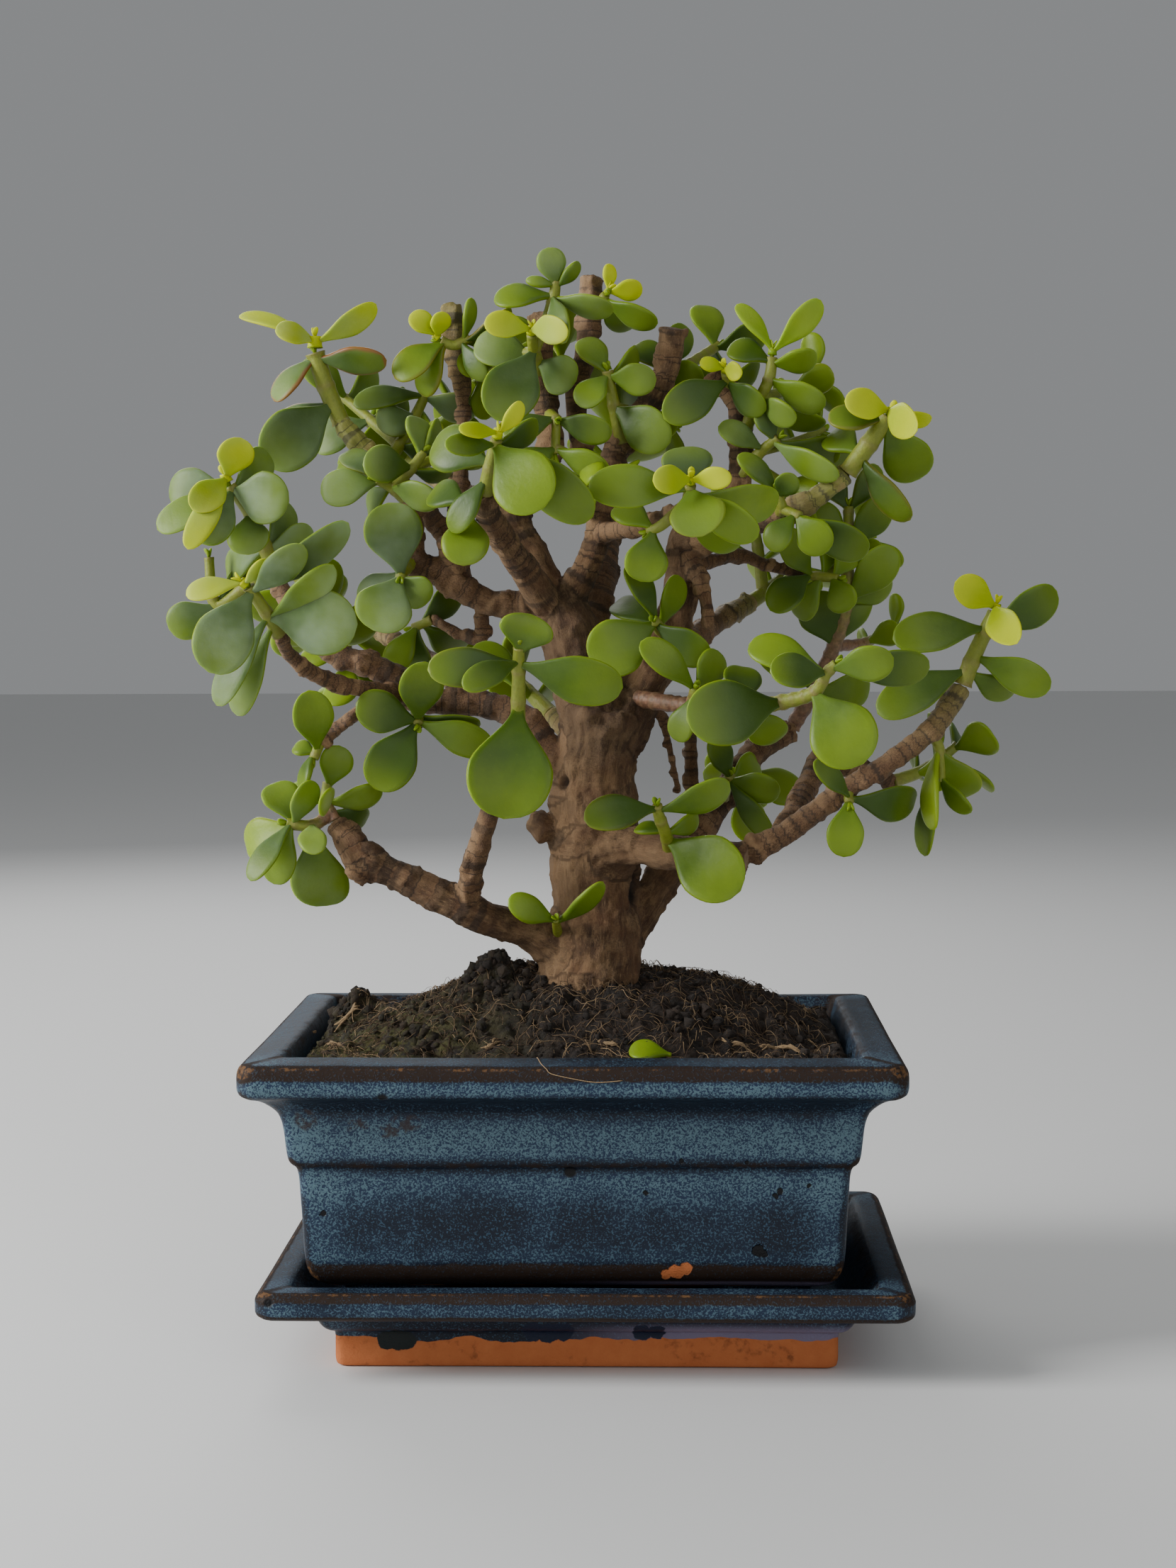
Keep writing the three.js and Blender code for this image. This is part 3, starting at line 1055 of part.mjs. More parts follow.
// Grows every shoot. Each leaf takes the first of its versions that is clear of all that is
// already there and belongs to another node, and is left off if there is none.
function growShoots(trunk, fixed) {
  const thickTrunk = makeTrunk(STEM_GAP);
  const nodes = [];
  const addNode = (name, colour, rowLists, leaves, thickness) =>
    nodes.push({ name, colour, stem: stemSolid(rowLists, thickTrunk), leaves, thickness, kept: [] });
  const random = seededRandom(20261);
  for (const [name, shoot] of Object.entries(SHOOTS)) {
    const places = stations(shoot);
    const tufts = TUFTS[name] ?? [];
    const rowLists = [shoot.stem, shoot.side, ...tufts].filter(Boolean);
    const leaves = shoot.leaves.map(([at, ...leaf]) => shownLeaf(places[at], leaf));
    leaves.push(...tufts.flatMap((rows) => rearLeaves(rows, TUFT_PAIRS, TUFT_LENGTH, random)));
    addNode(`${name}_leaves`, "green", rowLists, leaves, LEAF_THICKNESS);
    if (!shoot.young) continue;
    const rows = youngRows(shoot.stem, shoot.young.to);
    const [x, z, y] = rows[1];
    const [sx, sz, sy] = rows[0];
    const fork = seen(x, z, y).lerp(seen(sx, sz, sy), 0.5);
    const young = shoot.young.leaves.map((leaf) => shownLeaf(fork, leaf));
    addNode(`${name}_young`, "young", [rows], young, YOUNG_THICKNESS);
  }
  for (const [name, { stem, side }] of Object.entries(REAR_SHOOTS)) {
    const rowLists = [stem, side].filter(Boolean);
    const leaves = rowLists.flatMap((rows) => rearLeaves(rows, REAR_PAIRS, REAR_LENGTH, random));
    addNode(`${name}_leaves`, "green", rowLists, leaves, LEAF_THICKNESS);
  }
  const placed = [trunk, ...fixed].map((solid) => ({ solid, box: solid.boundingBox() }));
  for (const node of nodes) placed.push({ solid: node.stem, box: node.stem.boundingBox(), owner: node });
  for (const node of nodes) {
    for (const versions of node.leaves) {
      const clear = versions.find((version) => {
        const thick = blade(version, node.thickness, CLEARANCE);
        const box = thick.boundingBox();
        return placed
          .filter((other) => other.owner !== node && boxesMeet(box, other.box))
          .every((other) => thick.intersect(other.solid).volume() < LEAST_VOLUME);
      });
      if (!clear) continue;
      const solid = blade(clear, node.thickness);
      node.kept.push(solid);
      placed.push({ solid, box: solid.boundingBox(), owner: node });
    }
  }
  return nodes.map(({ name, colour, stem, kept }) => {
    const solid = wasm.Manifold.union([stem, ...kept]).simplify(SMALLEST_EDGE);
    return { name, colour, solid };
  });
}

// The leaf that has dropped on the soil near the pot's front rim.
function makeFallenLeaf() {
  const base = new THREE.Vector3(22.8, -39.5, 74.3);
  const tip = new THREE.Vector3(13.2, -38.6, 75.2);
  const hint = new THREE.Vector3(0, -0.6, 1);
  return blade({ base, tip, width: 7.5, hint }, LEAF_THICKNESS);
}

const bark = new THREE.MeshStandardMaterial({ color: 0x6b4f3a, roughness: 0.9 });
const glaze = new THREE.MeshStandardMaterial({ color: 0x24405c, roughness: 0.3 });
const peat = new THREE.MeshStandardMaterial({ color: 0x2c241d, roughness: 1 });

const foliage = {
  green: new THREE.MeshStandardMaterial({ color: 0x4f7a2a, roughness: 0.45 }),
  young: new THREE.MeshStandardMaterial({ color: 0xd6d84a, roughness: 0.45 }),
};

const bonsai = new THREE.Group();
const trunk = makeTrunk();
const pot = makePot();
const saucer = makeSaucer();
const soil = makeSoil(makeTrunkHole());
bonsai.add(meshOf("saucer", saucer, glaze));
bonsai.add(meshOf("pot", pot, glaze));
bonsai.add(meshOf("soil", soil, peat));
bonsai.add(meshOf("trunk", trunk, bark));
bonsai.add(meshOf("fallen_leaf", makeFallenLeaf(), foliage.green));
for (const { name, colour, solid } of growShoots(trunk, [pot, saucer, soil])) {
  bonsai.add(meshOf(name, solid, foliage[colour]));
}

export default bonsai;
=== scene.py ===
"""A dwarf jade bonsai in a blue glazed pot on its saucer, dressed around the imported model."""

import math

import bpy
from mathutils import Matrix, Quaternion, Vector, noise
from mathutils.kdtree import KDTree


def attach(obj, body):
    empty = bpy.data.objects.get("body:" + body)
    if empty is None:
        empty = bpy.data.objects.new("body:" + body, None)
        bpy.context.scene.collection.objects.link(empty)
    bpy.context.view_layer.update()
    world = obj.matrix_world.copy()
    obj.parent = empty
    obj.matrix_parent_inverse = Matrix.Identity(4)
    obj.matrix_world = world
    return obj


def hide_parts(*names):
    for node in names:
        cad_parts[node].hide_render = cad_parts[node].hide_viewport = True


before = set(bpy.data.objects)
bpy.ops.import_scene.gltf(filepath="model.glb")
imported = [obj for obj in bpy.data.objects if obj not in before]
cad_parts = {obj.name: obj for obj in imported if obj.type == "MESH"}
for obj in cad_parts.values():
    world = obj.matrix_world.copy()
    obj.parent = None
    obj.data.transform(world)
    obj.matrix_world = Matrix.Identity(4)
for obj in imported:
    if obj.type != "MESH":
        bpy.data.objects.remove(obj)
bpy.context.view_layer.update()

NOISE_SEED = 7
LITTER_SEED = 417
LEAF_SEED = 9173
RULE_SEED = 20261  # the same as the part's source has for the leaves that a rule places
noise.seed_set(NOISE_SEED)  # without it noise_vector starts from the clock

# Sizes are in millimetres until a mesh is made, as in the part's source.
MM = 0.001
POT_WIDTH = 157
POT_DEPTH = 115
POT_HEIGHT = 75.4
POT_BASE = 18
POT_CORNER = 5
POT_FLOOR = 24
SOFT_CORNER = 2.4
FOOT_SIZE = (26, 20, 11)
FOOT_INSET = 21.5
DRAIN_RADIUS = 6
DRAIN_SPACING = 64
DRAIN_SIDES = 24
SAUCER_WIDTH = 156
SAUCER_DEPTH = 108
FOOT_REACH = 2.6
SAUCER_HEIGHT = 19.8
SAUCER_FLOOR = 9.6
SAUCER_SHIFT = 2.6
SAUCER_CORNER = 5
GAP = 0.3
SOIL_RIM = 12.2  # from the rim's outer edge to the soil
SOIL_GRID = (250, 176)
SOIL_EDGE = 73
SOIL_PEAK = 89.5
TREE_SHIFT = 1.4
LEAF_THICKNESS = 1.9
YOUNG_THICKNESS = 1.3
LEAF_ARCH = 0.07

EYE = Vector((21.9, -608, 176))
STAND = Vector((0, 0, FOOT_REACH))  # heights count from this far above the floor
VIEW_PITCH = -3.72  # degrees, down
VIEW_YAW = 1.83  # degrees, to the left
VIEW_ROLL = -0.23  # degrees
PHOTO_SIZE = (1659, 2212)
FOCAL_PX = 3400
SENSOR = 36

UP = Vector((0, 0, 1))


def seen(x, z, y):
    """A place as seen from the front, at depth y, as a real place."""
    depth = (y - EYE.y) / -EYE.y
    return (Vector((x + TREE_SHIFT, 0, z)) - EYE) * depth + EYE


def seen_size(size, y):
    return size * (y - EYE.y) / -EYE.y


def seeded_random(seed):
    """A repeatable run of numbers from 0 to 1."""
    state = seed

    def draw():
        nonlocal state
        state = state * 48271 % 2147483647
        return state / 2147483647

    return draw


def clamp(value, low=0.0, high=1.0):
    return max(low, min(high, value))


def smoothstep(low, high, value):
    share = clamp((value - low) / (high - low))
    return share * share * (3 - 2 * share)


def catmull(rows, at):
    """The rows' values at a place along them, on a smooth curve through every row."""
    count = len(rows) - 1
    index = min(int(at), count - 1)
    t = at - index
    a, b = rows[max(index - 1, 0)], rows[index]
    c, d = rows[index + 1], rows[min(index + 2, count)]
    return [
        0.5 * (2 * q + (r - p) * t + (2 * p - 5 * q + 4 * r - s) * t * t + (3 * q - p - 3 * r + s) * t**3)
        for p, q, r, s in zip(a, b, c, d)
    ]


def write_attribute(mesh, key, rows):
    layer = mesh.attributes.new(key, "FLOAT_VECTOR", "POINT")
    layer.data.foreach_set("vector", [value for row in rows for value in row])


def search_tree(points):
    tree = KDTree(len(points))
    for i, point in enumerate(points):
        tree.insert(point, i)
    tree.balance()
    return tree


class Builder:
    """Gathers the points, faces and point attributes of one piece."""

    def __init__(self, *attributes):
        self.points = []
        self.faces = []
        self.values = {name: [] for name in attributes}

    def point(self, place, **values):
        self.points.append(Vector(place))
        for name, row in self.values.items():
            row.append(values.get(name, (0.0, 0.0, 0.0)))
        return len(self.points) - 1

    def loop_faces(self, rings, closed=True):
        """Quads between rings of equal length."""
        for ring, following in zip(rings, rings[1:]):
            count = len(ring)
            for i in range(count if closed else count - 1):
                j = (i + 1) % count
                self.faces.append((ring[i], ring[j], following[j], following[i]))

    def fan(self, ring, centre, flip=False):
        count = len(ring)
        for i in range(count):
            j = (i + 1) % count
            face = (ring[j], ring[i], centre) if flip else (ring[i], ring[j], centre)
            self.faces.append(face)

    def piece(self, name, materials, smooth=True):
        mesh = bpy.data.meshes.new(name)
        mesh.from_pydata([(p + STAND) * MM for p in self.points], [], self.faces)
        for key, rows in self.values.items():
            write_attribute(mesh, key, rows)
        for material in materials:
            mesh.materials.append(material)
        mesh.polygons.foreach_set("use_smooth", [smooth] * len(mesh.polygons))
        mesh.update()
        made = bpy.data.objects.new(name, mesh)
        bpy.context.collection.objects.link(made)
        return made


def place_piece(piece, slot, *nodes):
    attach(piece, "root")
    if nodes:
        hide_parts(*nodes)


def apply_modifiers(piece):
    """Replaces the piece's mesh with the result of its modifiers."""
    depsgraph = bpy.context.evaluated_depsgraph_get()
    mesh = bpy.data.meshes.new_from_object(piece.evaluated_get(depsgraph))
    piece.modifiers.clear()
    piece.data = mesh


# Tree tables, as in the part's source: rows of places as seen from the front, x, z, y and radius.
# A leaf's row is the number of the place that it grows from, its tip's x, z and y, its width and
# its turn in degrees. Young leaves all grow from one place and have no number.

TRUNK_FOOT = [[0, 70, 0, 9.5], [0, 86, 0, 13.6]]

TRUNK = [
  [0, 84, 0, 13.4], [2, 93, 0, 12.6], [3, 104, 0, 11.2], [2.6, 117, 0, 11], [2.4, 128, 0, 11.4],
  [2.8, 139, 0, 10.2], [4, 148, 0, 10.4], [5, 155, 0, 10.6],
]

BRANCHES = {
  "leftKnob": [[-4, 125.6, -3, 3.4], [-10.4, 126.4, -4.4, 3], [-13.2, 127.8, -5, 1.9]],
  "leftLeader": [[4, 150, 0, 8.6], [0, 163, 0, 8], [-3, 173, 0, 7.6], [-6, 182, 0, 6.6]],
  "leftArm": [
    [-8, 181, 0, 4], [-22, 182, 0, 3.4], [-31, 186, -1, 3.2], [-37, 190, -1, 3.2], [-43, 193, -2, 3.6],
    [-43, 201, -3, 2.9], [-43.5, 208, -4, 2.6],
  ],
  "topLeftArm": [
    [-30, 186, 1, 2.8], [-34, 198, 5, 2.6], [-44, 210, 6, 2.6], [-51, 216, 5, 2.6], [-57, 223, 4, 2.6],
    [-60.5, 227.4, 4, 2.4],
  ],
  "leftArmStub": [[-31, 188, 0, 2.6], [-34, 199, -3, 3.1]],
  "leftArmTwig": [[-26, 183, 4, 1.8], [-26, 173, 6, 1.5], [-38, 178, 9, 1.3]],
  "innerLeft": [
    [-7, 180, 0, 5.6], [-13, 194, 2, 4.4], [-17, 204, 4, 3.9], [-12, 214, 5, 3.4], [-8, 222, 5, 3.2],
    [-9.6, 234, 5, 3], [-10.4, 254, 4, 3.1],
  ],
  "frontLeft": [[-9, 182, -3, 4.2], [-18, 195, -17, 3.5], [-23.5, 204, -29, 3.3], [-24.6, 209, -34, 3.2]],
  "innerRight": [
    [-5, 181, 0, 4.4], [1, 191, -1, 3.6], [4, 200, -1, 3.4], [6, 210, 2, 3.3], [8, 219, 5, 3.5],
    [12.6, 226, 5, 3.6], [16.4, 231, 4, 3.2], [21, 240, 2, 3.1], [22.6, 250.4, 0, 3.2],
  ],
  "innerRightTwig": [[4, 199.5, -2, 2.6], [12, 201, -12, 2.4], [20, 203, -24, 2.2], [26, 206, -32, 2]],
  "topPost": [
    [5, 207, 3, 3], [0, 221, 10, 2.6], [-1.6, 234, 12, 2.6], [1, 245, 12, 2.7], [2.6, 263.4, 12, 3],
  ],
  "leftPost": [
    [-33, 195, 4, 3], [-31, 209, 10, 2.2], [-30, 228, 12, 1.5], [-30.4, 236, 11, 2], [-31.4, 244, 10, 3],
    [-32.6, 256.6, 9, 2.8],
  ],
  "rightLeader": [
    [8, 148, 0, 8], [13, 158, 2, 6.2], [17, 166, 2, 5.3], [22, 175, 2, 4.8], [25, 187, 2, 4.2],
    [26, 198, 2, 4.1], [32, 203, 4, 3.8], [38.6, 210, 5, 3.2], [39.8, 224, 4, 3], [38, 233, 3, 2.5],
    [32, 239, 2, 2.5],
  ],
  "rightLeaderTwig": [[27, 193, -1, 2.4], [30, 186, -6, 1.9], [32, 176, -8, 1.5]],
  "rightShelf": [
    [25, 192, 3, 3], [32, 192.4, 9, 2], [39, 194, 14, 1.7], [46, 191.5, 16, 1.5], [55, 189, 17, 1.3],
  ],
  "upperRight": [[26, 197, 1, 3.8], [42, 201.6, -3, 3], [55, 206, -5, 2.7], [66, 214, -6, 2.5]],
  "lowRight": [
    [2, 120, -2, 7], [13.6, 120.4, -12, 4.6], [22.5, 119, -17, 4.5], [31.5, 118, -20, 4.3],
    [41, 117, -22, 4],
  ],
  "lowRightArm": [
    [37, 117.4, -20, 3.2], [49.4, 123, -20, 2.9], [58.4, 129.4, -20, 2.7], [65.5, 134.8, -20, 2.6],
    [72.7, 139, -20, 2.5], [83.4, 146.4, -18, 2.6], [90.6, 153.6, -16, 2.6], [95, 160.6, -14, 2.5],
  ],
  "buttress": [
    [10, 98, 3, 5.6], [16, 107, 5, 4.6], [21, 114, 8, 4.2], [32.6, 129, 16, 3.6], [42, 143, 24, 3.2],
    [52, 150, 31, 2.8],
  ],
  "buttressPost": [[29, 124, 14, 2.2], [27.6, 134, 15, 1.9], [27, 145, 16, 1.7], [27, 156, 17, 1.4]],
  "hangingTwig": [[18, 157, 4, 1.5], [20.6, 150, 5, 1], [22.4, 142, 6, 0.9], [24, 134, 7, 0.9]],
  "darkRear": [
    [49, 122.6, -19, 2.4], [53, 129, -6, 2.6], [57, 137, 8, 3], [60, 142, 14, 3], [68, 140.6, 18, 2.4],
    [78, 137, 22, 1.8],
  ],
  "lowLeft": [
    [-2, 93, 0, 8], [-12, 98.6, -5, 5.2], [-22, 101.4, -10, 4.6], [-29.4, 104.4, -13, 4.3],
    [-40, 109.8, -15, 3.9], [-51, 115, -16, 4], [-56.6, 117.6, -16, 4.6], [-59.5, 122, -15, 4],
    [-63, 126.6, -13, 2.6],
  ],
  "lowLeftStub": [[-55, 119, -16, 4], [-58.5, 112.5, -18, 3.4]],
  "frontPost": [
    [-30, 104.4, -13, 3.3], [-28.6, 114, -18, 2.9], [-26.6, 121, -22, 3], [-24, 129, -25, 2.4],
    [-20, 141, -30, 2], [-16.6, 151, -35, 1.8],
  ],
  "midLeft": [
    [-1, 139, 0, 5], [-9, 145, -1, 4.2], [-14, 152, -1, 3.6], [-24, 156.4, -1, 3.4], [-42, 158, -3, 3.2],
    [-47, 163, -5, 3.2], [-53, 166.4, -7, 3.2], [-63, 169.8, -9, 3], [-71, 178, -8, 2.6],
    [-77, 187, -7, 2.2],
  ],
  "ringedTwig": [
    [-43, 158.6, -4, 2.4], [-52, 160, -12, 2.2], [-60, 161.6, -17, 2.1], [-68, 164.4, -22, 2],
    [-74, 169, -30, 1.8], [-77, 174, -38, 1.7],
  ],
  "droopTwig": [[-49, 158.8, -10, 2.2], [-58, 154, -13, 1.8], [-66.6, 147.6, -15, 1.9]],
  "backLow": [[6, 128, 4, 5.4], [4, 136, 18, 4], [0, 146, 32, 3.2], [-8, 154, 44, 2.6]],
  "backRight": [[12, 157, 5, 4.6], [22, 168, 18, 3.8], [32, 176, 32, 3], [42, 182, 44, 2.4]],
  "backMiddle": [[0, 170, 3, 4.6], [4, 184, 16, 3.8], [6, 198, 30, 3.2], [6, 210, 42, 2.6]],
  "backLeft": [[-14, 195, 6, 4], [-22, 203, 20, 3.2], [-30, 210, 34, 2.6], [-38, 214, 46, 2.2]],
  "backFarLeft": [[-24, 156.4, 1, 3], [-34, 164, 16, 2.6], [-46, 172, 30, 2.2], [-56, 178, 40, 1.9]],
}

SHOOTS = {
  "topLeft": {
    "stem": [[-60.5, 227.4, 4, 2.3], [-64.5, 237, 3, 2.3], [-67, 245, 2, 2.3]],
    "leaves": [
      [2, -49, 243, -3, 8.5, 35], [2, -77.5, 233, 0, 9, 55], [0, -80, 217.5, -4, 15, 0],
      [0, -79, 226, 10, 7, 55],
    ],
    "young": {
      "to": [-67, 249, 2, 1.8],
      "leaves": [[-51.5, 257, 0, 7, 30], [-86, 254.4, 6, 5.5, 50], [-77, 250.5, -4, 7, 40]],
    },
  },
  "topLeftTuft": {
    "stem": [[-50, 216, 5, 1.8], [-46, 222, 10, 1.6], [-42, 229, 14, 1.4], [-39, 235, 16, 1.2]],
    "side": [[-46, 222, 10, 1.6], [-53, 228, 19, 1.4], [-60, 234, 27, 1.2]],
    "leaves": [
      [3, -57.5, 232, 10, 7.5, 40], [3, -26.5, 230, 14, 9, 30], [2, -51.4, 226.5, 8, 9.5, 25],
      [1, -35, 220, 12, 8, 30], [0, -62, 214, 8, 9, 30], [6, -70, 243, 22, 9, 30], [6, -52, 242, 36, 9, 40],
      [5, -68, 222, 22, 10, 20], [5, -44, 234, 30, 9, 30],
    ],
  },
  "innerTuft": {
    "stem": [[-44, 208, -4, 1.9], [-48, 211.5, -6, 1.6], [-52, 213.4, -8, 1.3]],
    "side": [[-48, 211.5, -6, 1.6], [-43, 216, -5, 1.4], [-40, 220, -4, 1.2]],
    "leaves": [
      [2, -66, 210, -8, 10, 20], [2, -60, 220, 0, 8, 35], [1, -54, 205.4, 2, 7, 45],
      [1, -36, 208, 2, 8, 30], [4, -55.3, 217, -12, 10, 15], [4, -33, 214.5, 0, 6, 50],
      [5, -36, 228, 2, 6, 55], [5, -42, 229, 0, 8.5, 40],
    ],
  },
  "leftNode": {
    "stem": [[-43, 193, -3, 1.9], [-45.5, 190, -9, 1.6], [-46, 188.5, -13, 1.4]],
    "leaves": [
      [2, -49, 207.5, -16, 15, 0], [2, -53, 175.4, -18, 15, 10], [2, -38.5, 183, -12, 10, 30],
      [1, -56.6, 182, -4, 10, 35],
    ],
  },
  "leftCloud": {
    "stem": [[-77.4, 187.4, -7, 2.1], [-80, 196, -10, 1.9], [-84, 205, -13, 1.7], [-89, 212, -15, 1.5]],
    "side": [[-78.6, 192, -8.4, 1.6], [-86, 186, -5, 1.5], [-93, 182, -4, 1.5], [-94.5, 194, -4, 1.2]],
    "leaves": [
      [3, -104.4, 211, -14, 11, 10], [3, -107.5, 201, -18, 9, 30], [3, -96.5, 197.5, -24, 11, 5],
      [3, -74, 208, -22, 13.5, 5], [2, -84.5, 194.6, -18, 11, 15], [3, -79, 220, -8, 9.5, 20],
      [1, -74.5, 208, 2, 9, 30], [1, -67.6, 199, -4, 10, 20], [1, -90, 190, 4, 9, 30],
      [6, -105, 176, -6, 10, 10], [6, -84, 191, 4, 8, 30], [5, -88, 172, 4, 9, 20],
    ],
    "young": {
      "to": [-90.3, 215, -15.5, 1.3],
      "leaves": [[-86, 224, -15, 9.5, 15], [-98.6, 206, -22, 8.5, 10], [-101, 194, -10, 7, 15]],
    },
  },
  "frontLeftCloud": {
    "stem": [[-77.2, 174.6, -39, 1.8], [-79.5, 179, -43, 1.7], [-84.5, 186.5, -47, 1.5]],
    "leaves": [
      [1, -57, 177, -50, 17, 5], [2, -95, 165, -56, 15.5, 5], [1, -93, 156.5, -44, 9, 35],
      [0, -88, 154, -38, 9, 30], [2, -59, 202.5, -46, 11, 40], [2, -70.5, 197, -58, 9, 20],
      [1, -63, 192, -54, 9, 30],
    ],
    "young": {
      "to": [-86.5, 188, -48, 1.3],
      "leaves": [[-100.5, 184.5, -50, 6.5, 30], [-80, 193.6, -56, 5, 40]],
    },
  },
  "droopTip": {
    "stem": [[-66.8, 147.4, -15.2, 1.5], [-68.5, 143, -17, 1.2]],
    "leaves": [[0, -69.6, 160.4, -16, 10.5, 5], [1, -73.6, 146, -14, 5, 30], [1, -71.5, 135, -18, 6, 60]],
  },
  "lowLeft": {
    "stem": [[-63.4, 127.2, -12.8, 1.7], [-65.5, 132, -12, 1.5], [-65, 137, -12, 1.2]],
    "side": [[-64.4, 129.4, -12.4, 1.5], [-69, 126, -15, 1.6], [-75.6, 126.8, -16, 1.4]],
    "leaves": [
      [2, -62, 146.4, -13, 9, 15], [1, -51, 135.3, -10, 8, 40], [1, -67, 132.6, -28, 8, 0],
      [1, -76, 134, -4, 9, 30], [0, -55, 127.6, -4, 7, 20], [5, -79, 136.8, -12, 10, 15],
      [5, -69.4, 137.6, -22, 8, 35], [5, -86, 120.4, -10, 11, 25], [5, -85, 111.8, -24, 8, 45],
      [5, -79, 111, -16, 9, 15], [4, -68.5, 118.6, -26, 7.5, 0], [4, -65.5, 105.5, -14, 15, 5],
    ],
  },
  "midLeftFan": {
    "stem": [[-42, 157, -6, 1.8], [-42, 154, -10, 1.6], [-42, 151.5, -13, 1.4]],
    "leaves": [
      [2, -57.6, 157, -18, 11, 5], [2, -53, 135.2, -16, 13, 10], [2, -23, 145.5, -12, 9.5, 20],
      [2, -40, 167.5, -20, 11.5, 5], [1, -26, 151.6, -8, 8, 45],
    ],
  },
  "frontCross": {
    "stem": [
      [-16.6, 151.6, -35.6, 1.9], [-16.4, 160, -40, 1.8], [-16.3, 167, -43, 1.6], [-16.2, 171, -45, 1.4],
    ],
    "leaves": [
      [0, -20.4, 127.6, -46, 22, 0], [2, -39.4, 165.4, -50, 10.5, 10], [2, -30.3, 160.6, -56, 8, 25],
      [2, 10, 160.8, -46, 12.5, 10], [3, -13.2, 179.4, -46, 14, 5], [1, -27, 172, -36, 9, 30],
    ],
  },
  "centreNode": {
    "stem": [[21, 174, -3, 1.8], [19, 176, -9, 1.6], [18, 177.6, -13, 1.4]],
    "leaves": [
      [2, 2, 167, -16, 15, 5], [2, 11, 191.6, -14, 8, 40], [1, 24, 189, -8, 8, 40],
      [2, 32, 168, -16, 10, 25], [1, 8, 182, 4, 8, 30],
    ],
  },
  "frontYellow": {
    "stem": [[26.3, 206.6, -32.8, 1.7], [27, 211.4, -38, 1.4]],
    "side": [[26.4, 207.4, -34, 1.5], [20, 201.6, -33, 1.4], [16.5, 200, -31, 1.2]],
    "leaves": [
      [1, 25.2, 221, -34, 13, 10], [1, 1.4, 211, -40, 11.5, 15], [1, 30, 198.6, -46, 14.5, 0],
      [1, 44, 198.4, -40, 10, 20], [0, 49, 207, -24, 11, 20], [0, 38, 195, -22, 10, 25],
      [4, 14.5, 187.4, -32, 11, 0], [4, 8, 206, -26, 8, 30],
    ],
    "young": {
      "to": [27.2, 213.5, -39.5, 1.2],
      "leaves": [[17.6, 212.6, -46, 7.5, 5], [37.4, 213.4, -44, 6, 10]],
    },
  },
  "frontMass": {
    "stem": [[-24.6, 209.8, -34.8, 2], [-23, 217, -39, 1.8], [-21.6, 223, -42, 1.5]],
    "side": [[-24.2, 211.6, -36, 1.6], [-28.6, 207, -31, 1.4], [-29, 204, -28, 1.2]],
    "leaves": [
      [2, -9.6, 206, -52, 17, 5], [2, 2.6, 203.6, -44, 13, 15], [2, -34.6, 221.6, -50, 6.5, 25],
      [1, -37.6, 222, -30, 13, 10], [0, -33, 200, -36, 8, 30], [2, -11, 227, -36, 8, 40],
      [5, -30, 191.6, -26, 12, 5], [4, -38, 210, -20, 9, 25],
    ],
    "young": {
      "to": [-21, 225.5, -43.5, 1.3],
      "leaves": [[-31, 225.6, -50, 5, 35], [-15.3, 232.6, -46, 5, 30]],
    },
  },
  "crownPair": {
    "stem": [[-10.3, 240, 2, 1.7], [-12, 245, -4, 1.5], [-12.6, 249, -8, 1.3]],
    "side": [[-12, 245, -4, 1.5], [-9, 252, -5, 1.5], [-7, 258.4, -7, 1.5], [-6.4, 262.4, -8, 1.2]],
    "leaves": [
      [1, -21.8, 228, -14, 14.5, 5], [0, -27, 246.6, 0, 10, 15], [0, -1.4, 237.6, -2, 10.5, 10],
      [5, -22, 257.6, -8, 8, 45], [5, 8, 255.6, -12, 8.5, 45], [6, -8.4, 270.6, -10, 7.5, 5],
      [5, -4, 247, -18, 7, 30], [6, -0.6, 267, -9, 4, 30], [6, -14, 262.6, -9, 3, 30],
    ],
    "young": {
      "to": [-12.6, 250.8, -9.6, 1.2],
      "leaves": [[-24.5, 252, -14, 7, 15], [-3.4, 250, -18, 7.5, 10]],
    },
  },
  "crownPost": {
    "stem": [[4.2, 256.5, 10, 1.4], [6, 258.8, 6, 1.1]],
    "leaves": [[1, 19, 251.6, 4, 7.5, 40], [1, 12, 250, 14, 7, 30]],
    "young": {"to": [6.8, 260, 5.4, 0.9], "leaves": [[6.8, 266.5, 5, 3.8, 20], [15.2, 260.4, 5, 6, 25]]},
  },
  "innerPost": {
    "stem": [[-8, 229, 3, 1.6], [-6.4, 228, -4, 1.3]],
    "side": [[-6.5, 228, -3.4, 1.2], [-6.8, 219.4, -5, 1.2]],
    "leaves": [
      [1, 7.5, 224.5, -8, 8, 20], [1, -20, 224, -8, 8, 30], [3, 6.8, 214.4, -8, 8, 25],
      [3, -17, 214, -10, 9, 20],
    ],
  },
  "midCrown": {
    "stem": [[10, 222, 3, 1.8], [8, 231, 1, 1.6], [6.4, 240, -1, 1.4]],
    "leaves": [
      [2, 18.6, 237.7, -5, 8.5, 15], [2, -0.4, 231, -6, 8.5, 30], [2, 0, 248, 4, 8, 30],
      [2, 14, 245, 6, 7.5, 45], [1, 22, 222, -6, 12, 15],
    ],
  },
  "leftPostFront": {
    "stem": [[-28, 248.4, 3.6, 1.2], [-32, 246.6, 3.4, 1.3], [-35.4, 247.8, 2.6, 1.2]],
    "leaves": [
      [2, -47, 238.4, 0, 9, 30], [2, -40, 234, 6, 8.5, 40], [0, -24, 238, 0, 6, 30],
      [0, -20, 250, 8, 8, 40], [0, -27.6, 258.4, 2, 3.8, 30], [0, -17.6, 255.6, 0, 4.5, 35],
    ],
